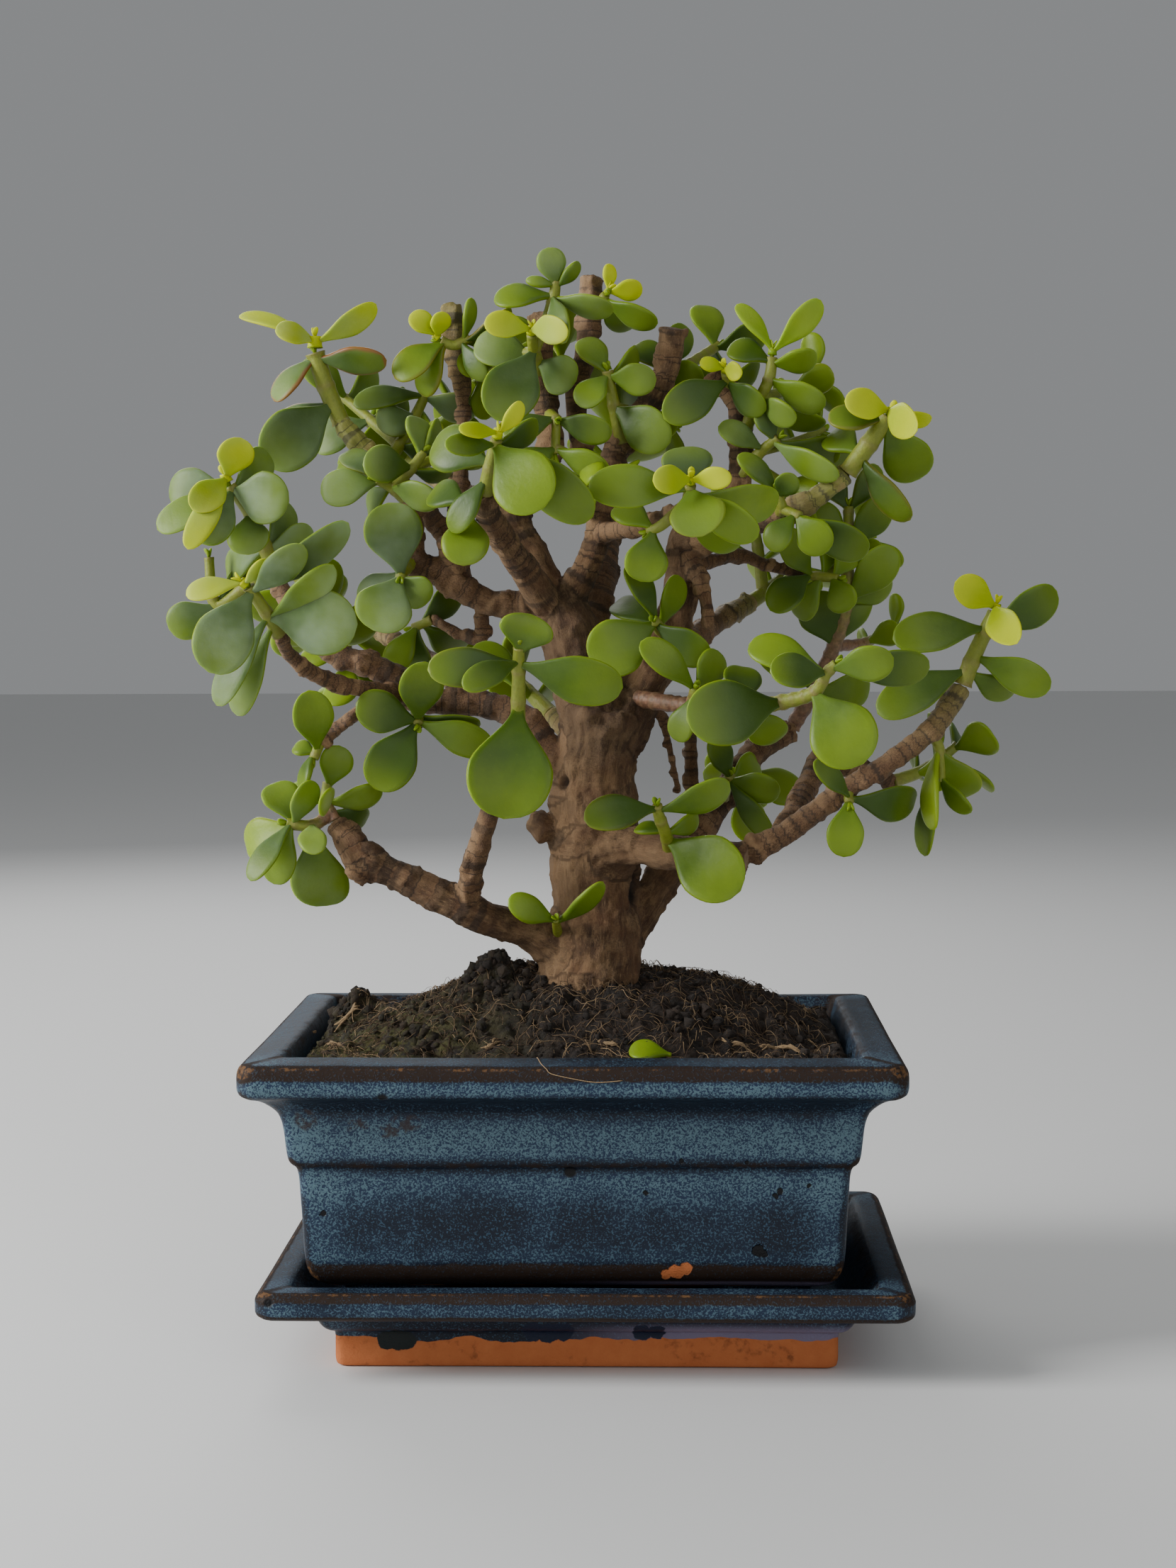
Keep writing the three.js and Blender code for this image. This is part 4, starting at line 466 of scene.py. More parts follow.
    "young": {"to": [-37, 249.4, 2, 1], "leaves": [[-43, 254.4, 0, 6, 20], [-35, 255, -2, 5.5, 20]]},
  },
  "behindStump": {
    "stem": [[17, 232, 6, 1.7], [20, 241, 11, 1.4]],
    "side": [[18, 236, 8, 1.5], [26, 241, 18, 1.4], [34, 246, 27, 1.2]],
    "leaves": [
      [1, 30.5, 237, 6, 10, 20], [1, 13.5, 246.5, 14, 8, 30], [1, 26, 251, 14, 8, 20],
      [0, 8, 232, 14, 9, 20], [3, 22, 232, 26, 9, 20], [3, 38, 236, 18, 9, 30], [4, 46, 250, 26, 9, 30],
      [4, 30, 256, 34, 9, 30], [4, 34, 240, 40, 9, 30],
    ],
  },
  "rightStump": {
    "stem": [[37, 235, 2, 1.6], [36, 239.4, -2, 1.3]],
    "leaves": [[0, 20.4, 228, -8, 10.5, 5], [0, 46, 230, 2, 8.5, 35], [1, 44, 240, 6, 7, 30]],
    "young": {"to": [35.6, 240.6, -3, 1.1], "leaves": [[29.4, 242, -4, 4, 20], [40, 239, -8, 5, 10]]},
  },
  "limeSprig": {
    "stem": [[41, 226, 2, 1.7], [44.5, 233, -2, 1.5], [46.8, 238, -3, 1.5], [47.4, 243, -3, 1.3]],
    "leaves": [
      [3, 36.3, 245.2, -1, 8, 40], [3, 58.6, 243.8, -6, 8, 40], [2, 60.8, 231, -6, 9, 35],
      [1, 53.6, 228, -10, 8, 40], [1, 60.5, 226, 6, 8, 45],
    ],
    "young": {"to": [47.6, 245, -3, 1.1], "leaves": [[38.6, 256.2, -2, 5.5, 35], [59.6, 257, -4, 7, 20]]},
  },
  "upperRightTip": {
    "stem": [[66.4, 214.4, -6, 2.4], [72.7, 223, -8, 2.3], [76, 228.4, -9, 2]],
    "leaves": [
      [2, 61.4, 227.4, -12, 8.5, 40], [2, 84.3, 212.6, -2, 12.5, 10], [0, 82, 202.4, -10, 8, 30],
      [0, 62, 224, 4, 9, 20],
    ],
    "young": {
      "to": [77, 230, -9.4, 1.5],
      "leaves": [[65.5, 232, -14, 8, 20], [83.6, 224.6, -16, 8.5, 15], [87, 227, -4, 5, 30]],
    },
  },
  "rightLong": {
    "stem": [[39, 213, 4, 1.7], [45, 220, 0, 1.4], [49, 223, -2, 1.2]],
    "leaves": [
      [2, 64.3, 213.6, -8, 8, 35], [2, 66.8, 218, 4, 11, 20], [1, 34, 226, -4, 7, 30],
      [2, 44, 230, 2, 7, 35],
    ],
  },
  "rightSmall": {
    "stem": [[49, 204.4, -4, 1.6], [50, 205.4, -9.4, 1.4], [48.6, 210, -11, 1.2]],
    "side": [[50, 205.4, -9.4, 1.4], [54.6, 203.4, -12, 1.2]],
    "leaves": [
      [2, 39, 219, -12, 6, 30], [2, 53, 214, -16, 6.5, 10], [0, 57, 212, 2, 9, 20],
      [4, 61.6, 194.8, -15, 9.5, 10], [4, 71.4, 194.2, -9, 10, 20], [4, 47, 195, -12, 8, 25],
    ],
  },
  "shelfTip": {
    "stem": [[54.4, 189, 17, 1], [60, 188.4, 15, 1.3], [64, 188, 13, 1.1]],
    "leaves": [
      [0, 50, 200, 8, 8.5, 20], [2, 67, 180, 10, 8.5, 20], [2, 68, 197, 18, 8, 30], [1, 54, 178, 20, 8, 20],
      [0, 47, 180, 12, 9, 15], [1, 62, 201, 20, 8, 30],
    ],
  },
  "rightPost": {
    "stem": [
      [52.5, 150.6, 31.4, 2], [58, 160, 30, 1.9], [63, 171, 26, 1.8], [66, 182, 22, 1.7],
      [66.4, 196, 20, 1.5], [66.6, 206, 19, 1.3],
    ],
    "leaves": [
      [2, 57.5, 184.6, 18, 12, 0], [2, 71, 186, 26, 8, 10], [3, 78, 195.6, 18, 10, 15],
      [3, 77.5, 188, 28, 8, 35], [4, 76, 208, 16, 9, 20], [4, 56, 206, 26, 9, 20], [5, 60, 214, 18, 7, 20],
      [5, 74, 216, 22, 7, 20], [1, 44, 172, 26, 10, 15], [1, 72, 160, 36, 10, 20],
    ],
  },
  "frontRight": {
    "stem": [
      [14, 158, -3, 2.2], [28, 156, -16, 2], [40, 155.6, -28, 1.9], [50, 157, -36, 1.9],
      [58, 159.4, -41, 1.7], [61, 164, -43, 1.5], [63.6, 166.6, -44, 1.3],
    ],
    "side": [[27, 156, -15, 1.6], [28.4, 160.6, -21, 1.3]],
    "leaves": [
      [3, 26, 152.6, -46, 17, 5], [4, 70.5, 141.4, -50, 17.5, 0], [5, 41.7, 171.6, -38, 10, 25],
      [5, 47, 164.6, -50, 10, 25], [6, 78, 168, -50, 10, 20], [6, 87, 165.6, -36, 10, 20],
      [2, 40, 166, -20, 10, 15], [2, 50, 148, -22, 10, 25], [8, 14.5, 172.4, -24, 8.5, 20],
      [8, 34, 170, -18, 9, 30], [7, 24, 147, -18, 8, 30],
    ],
  },
  "rightEnd": {
    "stem": [[95.2, 161.2, -14, 2.3], [98, 168.4, -14, 2.1], [101, 175, -14, 1.9], [103, 179.4, -14, 1.6]],
    "leaves": [
      [2, 118.6, 184.6, -10, 10, 15], [2, 77.7, 172.6, -20, 11, 20], [1, 117.2, 160.2, -16, 9.5, 15],
      [0, 108.6, 159.6, -6, 8, 25], [0, 74, 154, -20, 11, 20],
    ],
    "young": {
      "to": [103.6, 181.4, -14, 1.3],
      "leaves": [[93.2, 187, -18, 8.5, 10], [109.4, 170.4, -20, 8.5, 5]],
    },
  },
  "edgeLeaves": {
    "stem": [[87.4, 149, -15, 1.6], [89.6, 145, -13, 1.3], [90, 137, -12, 1.1]],
    "leaves": [
      [1, 88.4, 124.6, -20, 9, 62], [2, 86, 118, -12, 8, 50], [1, 98, 133.6, -8, 10.5, 20],
      [2, 97.6, 129, -14, 6, 40],
    ],
  },
  "paleLeaf": {
    "stem": [[66.5, 134, -21, 1.5], [67, 131.6, -23, 1.1]],
    "leaves": [[1, 65.6, 117.8, -25, 9.5, 5], [0, 83.6, 132, -10, 10, 20], [0, 58, 142, -24, 6, 30]],
  },
  "buttressLeaves": {
    "stem": [[35, 133, 14, 1.7], [37, 138.6, 9, 1.3]],
    "leaves": [
      [1, 47.6, 122.6, 4, 6.5, 25], [1, 49.6, 134.4, 6, 8.5, 25], [1, 32, 148, 4, 7.5, 30],
      [0, 44, 142, 22, 9, 20],
    ],
  },
  "lowFront": {
    "stem": [[21.6, 120.4, -20, 1.8], [20.6, 124, -27, 1.6], [19, 128.4, -31, 1.5], [18.6, 131, -33, 1.2]],
    "leaves": [
      [3, 0, 127.4, -40, 10, 20], [3, 36.8, 136.8, -36, 9, 30], [0, 39.6, 109.2, -36, 17, 0],
      [1, 13, 125, -22, 5, 45], [1, 29, 128, -22, 6, 35],
    ],
  },
  "baseSprout": {
    "stem": [[-6.6, 97.6, -6, 1.4], [-7.3, 102, -16, 1]],
    "leaves": [[1, -19.3, 107.2, -20, 7.5, 15], [1, 4.8, 111.6, -22, 6, 40]],
  },
  "underArm": {
    "stem": [[-38.2, 178, 9, 1.3], [-43, 176, 10, 1.1]],
    "leaves": [
      [1, -31, 187, 10, 8.5, 30], [1, -49, 164.5, 8, 8, 20], [1, -41, 163, 14, 9, 25],
      [0, -30, 171, 14, 9, 30],
    ],
  },
}

REAR_SHOOTS = {
  "rearLow": {"stem": [[-8, 154, 44, 2.2], [-14, 160, 52, 1.8], [-20, 166, 58, 1.3]]},
  "rearRight": {
    "stem": [[42, 182, 44, 2], [50, 188, 52, 1.7], [56, 196, 58, 1.2]],
    "side": [[45.2, 184.4, 47.2, 1.6], [44, 195, 50, 1.5], [42, 206, 52, 1.2]],
  },
  "rearMiddle": {"stem": [[6, 210, 42, 2], [8, 220, 50, 1.7], [10, 232, 54, 1.2]]},
  "rearLeft": {
    "stem": [[-38, 214, 46, 2], [-46, 220, 52, 1.6], [-54, 228, 56, 1.2]],
    "side": [[-41, 216.4, 48.4, 1.5], [-34, 226, 50, 1.5], [-28, 236, 50, 1.2]],
  },
  "rearFarLeft": {
    "stem": [[-56, 178, 40, 1.8], [-66, 184, 46, 1.5], [-76, 192, 50, 1.2]],
    "side": [[-60, 180.4, 42.4, 1.5], [-60, 172, 50, 1.4], [-58, 164, 55, 1.2]],
  },
  "rearCrown": {"stem": [[-1, 233, 13, 1.7], [-4, 240, 24, 1.5], [-8, 248, 32, 1.2]]},
  "rearTwig": {"stem": [[78, 137, 22.2, 1.7], [86, 140, 26, 1.5], [94, 146, 28, 1.2]]},
  "rearButtress": {"stem": [[43, 143.4, 26, 1.8], [42, 138, 38, 1.5], [38, 134, 48, 1.2]]},
  "rearShelf": {"stem": [[-63, 170, -7, 1.9], [-66, 176, 6, 1.6], [-70, 182, 16, 1.2]]},
}

TUFTS = {
  "topLeftTuft": [[[-46, 222, 10, 1.5], [-38, 226, 22, 1.3], [-30, 231, 32, 1.1]]],
  "innerTuft": [[[-43, 216, -5, 1.4], [-36, 219, 4, 1.2], [-29, 223, 12, 1]]],
  "innerPost": [[[-6.8, 221, -4.8, 1.2], [-1, 218, -4, 1.1], [4, 213, -3, 1]]],
  "midCrown": [[[8, 231, 1, 1.5], [15, 229, 10, 1.2], [23, 226, 18, 1]]],
  "crownPair": [[[-12, 245, -4, 1.4], [-20, 243, 6, 1.2], [-26, 238, 14, 1]]],
  "rightLong": [
    [[45, 220, 0, 1.4], [53, 222, 8, 1.2], [60, 225, 16, 1]],
    [[42, 217, 2, 1.4], [50, 212, 9, 1.2], [57, 208, 14, 1]],
  ],
  "limeSprig": [[[44.5, 233, -2, 1.5], [52, 235, 8, 1.2], [58, 238, 16, 1]]],
  "shelfTip": [[[60, 188.4, 15, 1.2], [66, 193, 26, 1.1], [72, 198, 34, 1]]],
  "rightPost": [[[63, 171, 26, 1.5], [71, 172, 36, 1.2], [79, 176, 42, 1]]],
}

# The versions that a leaf may have, in the order tried: for a listed leaf, a shift in depth
# and a share of its length, and for one that a rule places, a turn in degrees and such a share.
BENDS = [
  (0, 1), (4, 1), (-4, 1), (8, 1), (-8, 1), (12, 1), (-12, 1), (16, 1), (-16, 1), (0, 0.85), (6, 0.85),
  (-6, 0.85), (12, 0.8), (-12, 0.8), (20, 0.9), (-20, 0.9),
]
TURNS = [(0, 1), (25, 1), (-25, 1), (50, 1), (-50, 1), (0, 0.75), (35, 0.75), (-35, 0.75)]
REAR_PAIRS = 3
REAR_LENGTH = (13, 18)
TUFT_PAIRS = 2
TUFT_LENGTH = (9.5, 13)
REAR_WIDTH_SHARE = 0.66
REAR_RISE = 0.5
NODE_SETBACK = 1.4
SINK = 0.5
TIP_MATCH = 0.4  # how near a solid's vertex has to be for a leaf's tip to be there


# Shader helpers


class Wire:
    """A value in a node tree, so that sums and products of values can be written as such."""

    def __init__(self, shader, socket):
        self.shader = shader
        self.socket = socket

    def __add__(self, other):
        return self.shader.math("ADD", self, other)

    def __radd__(self, other):
        return self.shader.math("ADD", other, self)

    def __sub__(self, other):
        return self.shader.math("SUBTRACT", self, other)

    def __rsub__(self, other):
        return self.shader.math("SUBTRACT", other, self)

    def __mul__(self, other):
        return self.shader.math("MULTIPLY", self, other)


class Shader:
    """Writes a material's node tree in a few words."""

    def __init__(self, name):
        self.material = bpy.data.materials.new(name)
        self.material.use_nodes = True
        self.nodes = self.material.node_tree.nodes
        self.links = self.material.node_tree.links
        self.surface = self.nodes["Principled BSDF"]
        self.position = self.wire("ShaderNodeTexCoord", output="Object")

    def node(self, kind, inputs=(), **settings):
        node = self.nodes.new(kind)
        for key, value in settings.items():
            setattr(node, key, value)
        for key, value in dict(inputs).items():
            self.feed(node.inputs[key], value)
        return node

    def wire(self, kind, inputs=(), output=0, **settings):
        return Wire(self, self.node(kind, inputs, **settings).outputs[output])

    def feed(self, socket, value):
        if isinstance(value, Wire):
            self.links.new(value.socket, socket)
        elif isinstance(value, tuple) and socket.type == "RGBA":
            socket.default_value = (*value, 1)
        elif value is not None:
            socket.default_value = value

    def math(self, operation, a, b=None):
        return self.wire("ShaderNodeMath", {0: a, 1: b}, operation=operation)

    def between(self, share, a, b):
        return a + share * (b - a)

    def step(self, low, high, value):
        """A smooth step from low to high."""
        inputs = {"Value": value, "From Min": low, "From Max": high}
        return self.wire("ShaderNodeMapRange", inputs, "Result", interpolation_type="SMOOTHSTEP")

    def mix(self, share, a, b):
        return self.wire("ShaderNodeMix", {0: share, 6: a, 7: b}, 2, data_type="RGBA")

    def noise(self, scale, detail=4, rough=0.55, place=None, distortion=0.0, seed=0.0):
        inputs = {
            "Vector": place or self.position, "Scale": scale, "Detail": detail, "Roughness": rough,
            "Distortion": distortion, "W": seed,
        }
        return self.wire("ShaderNodeTexNoise", inputs, "Fac", noise_dimensions="4D")

    def noise_vector(self, scale):
        """A random shift of place, from 0 to 1 each way."""
        return self.wire("ShaderNodeTexNoise", {"Vector": self.position, "Scale": scale}, "Color")

    def cells(self, scale):
        """The distance from the middle of each random cell, and the cell's own chance."""
        node = self.node("ShaderNodeTexVoronoi", {"Vector": self.position, "Scale": scale})
        return Wire(self, node.outputs["Distance"]), self.parts(Wire(self, node.outputs["Color"]))[0]

    def parts(self, vector):
        return [Wire(self, socket) for socket in self.node("ShaderNodeSeparateXYZ", {0: vector}).outputs]

    def attribute(self, name):
        return self.parts(self.vector_attribute(name))

    def vector_attribute(self, name):
        return self.wire("ShaderNodeAttribute", output="Vector", attribute_name=name)

    def facing(self):
        """The parts of the direction that the surface faces."""
        return self.parts(self.wire("ShaderNodeNewGeometry", output="Normal"))

    def stretch(self, vector, scale):
        return self.wire("ShaderNodeVectorMath", {0: vector, 1: scale}, operation="MULTIPLY")

    def bump(self, height, distance, strength=1.0, below=None):
        inputs = {"Distance": distance, "Strength": strength, "Height": height, "Normal": below}
        return self.wire("ShaderNodeBump", inputs)

    def finish(self, **inputs):
        for key, value in inputs.items():
            self.feed(self.surface.inputs[key.replace("_", " ")], value)
        return self.material


# Glaze, clay and soil

GLAZE_NIGHT = (0.006, 0.0095, 0.018)
GLAZE_NAVY = (0.013, 0.026, 0.058)
GLAZE_BLUE = (0.030, 0.062, 0.100)
GLAZE_PALE = (0.090, 0.155, 0.185)
GLAZE_BREAK = (0.025, 0.016, 0.012)
GLAZE_GOLD = (0.13, 0.066, 0.028)
GLAZE_LAVENDER = (0.20, 0.17, 0.26)
GLAZE_STAIN = (0.028, 0.018, 0.018)
GLAZE_PIT = (0.003, 0.003, 0.004)
GLAZE_DRIP = (0.005, 0.010, 0.028)
GLAZE_BEAD = (0.006, 0.010, 0.010)
TERRACOTTA = (0.58, 0.20, 0.075)
TERRACOTTA_DARK = (0.40, 0.110, 0.036)
SOOT = (0.085, 0.030, 0.016)
MARK_WANDER = 1.6  # how far the edges of marks wander

# Marks in the glaze of the pot's front: x, z and size.
PITS = [
  (43.9, 28.2, 1.5), (45.2, 27.6, 1.0), (-59.7, 37, 0.8), (48.9, 42.8, 0.8), (48, 41.5, 0.7),
  (55.7, 44, 0.55), (25.5, 50.5, 0.6), (41.2, 50.2, 0.5), (17.2, 42.1, 0.5),
]
CHIPS = [(22.1, 22.3, 1.4), (24.3, 22.9, 1.9), (26.6, 23.7, 1.6)]
STAINS = [
  (-41, 58.9, 2.6), (-38, 59.6, 2), (-62.8, 60.6, 2.6), (-49.6, 59.4, 1.4), (-52, 59, 1.2),
  (-44, 57.6, 1.6),
]
DRIPS = [(-6.4, 6.6, 3.0), (-10, 7, 2.8), (-3, 7, 2.8), (16.2, 6.8, 2.4), (19.6, 6.9, 2.2)]
BEADS = [(-45.4, 4.2, 2.4), (-43, 4.5, 2.7), (-40.8, 4.1, 2.3)]


def marks(s, spots, blur):
    """Where any of the round spots is, seen from the front; their edges wander a little."""
    wander = (MARK_WANDER * MM, 0, MARK_WANDER * MM)
    inputs = {0: s.noise_vector(520), 1: wander, 2: s.stretch(s.position, (1, 0, 1))}
    apart = s.wire("ShaderNodeVectorMath", inputs, operation="MULTIPLY_ADD")
    least = None
    for x, z, size in spots:
        spot = ((x + MARK_WANDER / 2) * MM, 0, (z + STAND.z + MARK_WANDER / 2) * MM)
        gap = s.wire("ShaderNodeVectorMath", {0: apart, 1: spot}, "Value", operation="DISTANCE") - size * MM
        least = gap if least is None else s.math("MINIMUM", least, gap)
    front = s.step(0, -0.01, s.parts(s.position)[1])
    return s.step(blur * MM, -blur * MM, least) * front


def glaze_material():
    """Speckled blue stoneware glaze. The glaze attribute holds its paleness, where it breaks to
    brown over an edge, and how bare the clay is."""
    s = Shader("blue_glaze")
    tone, breaks, bare = s.attribute("glaze")
    blobs = s.noise(2000, 1.6, 0.55, distortion=0.6)
    drift = s.noise(38, 4, 0.6, seed=5) * 0.55 + s.noise(170, 5, 0.65, seed=7) * 0.45
    paleness = tone + (drift - 0.5) * 1.7
    threshold = 0.4 + paleness * 0.115
    lace = s.step(0.075, -0.065, blobs - threshold)
    grit = s.noise(2600, 2, 0.5, seed=3)
    ground = s.mix(s.step(0.0, 0.8, paleness), GLAZE_NIGHT, GLAZE_NAVY)
    veil = s.mix(s.step(0.0, 0.95, paleness), GLAZE_BLUE, GLAZE_PALE)
    veil = s.mix(s.step(0.35, 0.65, grit) * 0.45, veil, GLAZE_BLUE)
    colour = s.mix(lace, ground, veil)
    ragged = breaks + (s.noise(190, 6, 0.7, seed=8) - 0.5) * 0.8
    brown = s.step(0.5, 0.75, ragged) * (1.0 - lace * 0.3)
    crest = breaks + (s.noise(220, 4, 0.7, seed=12) - 0.5) * 0.7
    ridge = s.step(1.1, 1.2, crest) * s.step(0.4, 0.6, s.noise(900, 2, 0.5, seed=13))
    colour = s.mix(brown, colour, s.mix(ridge, GLAZE_BREAK, GLAZE_GOLD))
    stains = marks(s, STAINS, 0.6) * s.step(0.4, 0.55, s.noise(450, 4, 0.6, seed=15))
    colour = s.mix(stains * 0.85, colour, GLAZE_STAIN)
    distance, chance = s.cells(70)
    pit = s.step(0.13, 0.08, distance) * s.step(0.84, 0.86, chance)
    pit = s.math("MAXIMUM", pit, marks(s, PITS, 0.12))
    colour = s.mix(pit, colour, GLAZE_PIT)
    lilac = s.step(0.12, 0.24, bare) * s.step(-0.01, 0.03, s.parts(s.position)[0])
    colour = s.mix(lilac * 0.8, colour, GLAZE_LAVENDER)
    edge = bare + (s.noise(75, 3, 0.5, seed=21) - 0.5) * 0.8
    drips, beads = marks(s, DRIPS, 0.15), marks(s, BEADS, 0.12)
    clay = s.step(0.5, 0.53, edge) * (1.0 - s.math("MAXIMUM", drips, beads))
    clay = s.math("MAXIMUM", clay, marks(s, CHIPS, 0.15))
    colour = s.mix(drips, colour, GLAZE_DRIP)
    colour = s.mix(beads, colour, GLAZE_BEAD)
    body = s.mix(s.noise(160, 6, 0.65, seed=17), TERRACOTTA_DARK, TERRACOTTA)
    soot = s.step(0.53, 0.68, s.noise(60, 2, seed=30) * 0.5 + s.noise(480, 4, 0.6, seed=31) * 0.5)
    body = s.mix(soot * 0.7, body, SOOT)
    rough = 0.36 + lace * 0.12 + brown * 0.2 + s.step(0.5, 0.95, s.facing()[2]) * 0.22
    rough = s.between(clay, rough, 0.85)
    skin = s.bump(s.noise(300, 3, 0.5, seed=2), 0.0006, 0.3)
    relief = lace * 0.3 + brown * -0.4 - pit * 2.5 - clay * 2.0
    normal = s.bump(relief, 0.00012, 1.0, skin)
    normal = s.bump(s.noise(900, 5, 0.7, seed=40) * clay, 0.0002, 0.8, normal)
    shine = s.between(s.math("MAXIMUM", brown, clay), 0.24, 0.12)
    colour = s.mix(clay, colour, body)
    return s.finish(Base_Color=colour, Roughness=rough, Normal=normal, Specular_IOR_Level=shine)


def rounded(profile, reach=1.0):
    """Cuts the corners of a profile twice, so that its edges are softly rounded."""
    for _ in range(2):
        points = [profile[0]]
        for a, b in zip(profile, profile[1:]):
            length = math.hypot(b[0] - a[0], b[1] - a[1])
            share = min(0.3, reach / max(length, 1e-6))
            points.append([p + (q - p) * share for p, q in zip(a, b)])
            points.append([q + (p - q) * share for p, q in zip(a, b)])
        points.append(profile[-1])
        profile = points
        reach /= 2
    return profile


def split_long(profile, longest=3.0):
    points = [profile[0]]
    for a, b in zip(profile, profile[1:]):
        count = max(1, math.ceil(math.hypot(b[0] - a[0], b[1] - a[1]) / longest))
        points += [[p + (q - p) * i / count for p, q in zip(a, b)] for i in range(1, count + 1)]
    return points


def outline(width, depth, corner, inset, steps=7, spacing=4.0):
    """A rounded rectangle, anticlockwise from the right, with how much each point is in a corner."""
    half_w, half_d = width / 2 - inset, depth / 2 - inset
    radius = max(corner - inset, min(SOFT_CORNER, half_d / 2))
    rows = []

    def arc_point(quarter, share):
        """A point on the arc of a corner, which is as many quarters round."""
        right = 1 if quarter % 4 in (0, 3) else -1
        back = 1 if quarter % 4 < 2 else -1
        centre = (right * (half_w - radius), back * (half_d - radius))
        angle = (quarter + share) * math.pi / 2
        return centre[0] + radius * math.cos(angle), centre[1] + radius * math.sin(angle)

    for quarter in range(4):
        for step in range(steps):
            bend = math.sin(math.pi * step / (steps - 1))
            rows.append((*arc_point(quarter, step / (steps - 1)), bend))
        count = max(2, round((width if quarter % 2 == 0 else depth) / spacing))
        start, end = rows[-1], arc_point(quarter + 1, 0)
        for i in range(1, count):
            share = i / count
            rows.append((*(a + (b - a) * share for a, b in zip(start, end)), 0.0))
    return rows


def vessel(builder, width, depth, corner, profile, shift=(0, 0, 0), wobble=0.25, corner_break=0.0):
    """A closed rectangular form from its centre below to its centre above. Each row of the
    profile is an inset, a height, the glaze's paleness, its break to brown and its bareness."""
    rings = []
    for inset, z, tone, breaks, bare in profile:
        ring = []
        for x, y, bend in outline(width, depth, corner, inset):
            place = Vector((x, y, z)) + Vector(shift)
            push = noise.noise_vector(place * 0.022) * wobble
            to_corner = max(width / 2 - inset - abs(x), depth / 2 - inset - abs(y))
            tone_here = tone + 0.45 * smoothstep(13, 4, to_corner) * (1 - bend)
            glaze = (tone_here - 0.25 * bend, breaks + corner_break * bend, bare)
            ring.append(builder.point(place + push, glaze=glaze))
        rings.append(ring)
    builder.loop_faces(rings)
    for ring, flip in ((rings[0], True), (rings[-1], False)):
        centre = sum((builder.points[i] for i in ring), Vector()) / len(ring)
        hub = builder.point(centre, glaze=builder.values["glaze"][ring[0]])
        builder.fan(ring, hub, flip)


def make_saucer(glaze):
    foot = 17.2
    profile = [
        [foot + 14, -FOOT_REACH, 0, 0, 1], [foot + 0.8, -FOOT_REACH, 0, 0, 1],
        [foot, 1.2 - FOOT_REACH, 0, 0, 1], [foot, 3, 0, 0, 0.8], [foot, 6.2, 0, 0, 0.3],
        [foot - 0.8, 6.7, -0.1, 0.1, 0.26], [14.6, 7.4, 0, 0.1, 0.22], [12.2, 12.2, -0.1, 0.2, 0.05],
        [2.4, 13.0, -0.2, 0.3, 0], [0.5, 14.0, -0.1, 1.1, 0], [0.2, 14.6, 0.2, 0.7, 0],
        [0, 15.0, 0.35, 0.3, 0], [0, 17.2, 0.4, 0.2, 0], [0, SAUCER_HEIGHT - 1.6, 0.1, 0.85, 0],
        [0.8, SAUCER_HEIGHT - 0.5, 0, 0.95, 0], [1.6, SAUCER_HEIGHT, 0.1, 1.25, 0],
        [2.0, SAUCER_HEIGHT + 0.1, 0.1, 0.7, 0], [3.2, SAUCER_HEIGHT + 0.2, 0.3, 0.3, 0],
        [7.2, SAUCER_HEIGHT + 0.4, 0.25, 0.3, 0], [8.6, SAUCER_HEIGHT - 0.8, 0.2, 0.7, 0],
        [15, SAUCER_FLOOR + 0.8, 0.35, 0.05, 0], [17, SAUCER_FLOOR, 0.2, 0, 0],
        [30, SAUCER_FLOOR, 0.3, 0, 0],
    ]
    builder = Builder("glaze")
    shift = (SAUCER_SHIFT, 0, 0)
    vessel(builder, SAUCER_WIDTH, SAUCER_DEPTH, SAUCER_CORNER, split_long(rounded(profile)), shift, 0.3, 0.25)
    place_piece(builder.piece("saucer_glazed", [glaze]), "glaze", "saucer")


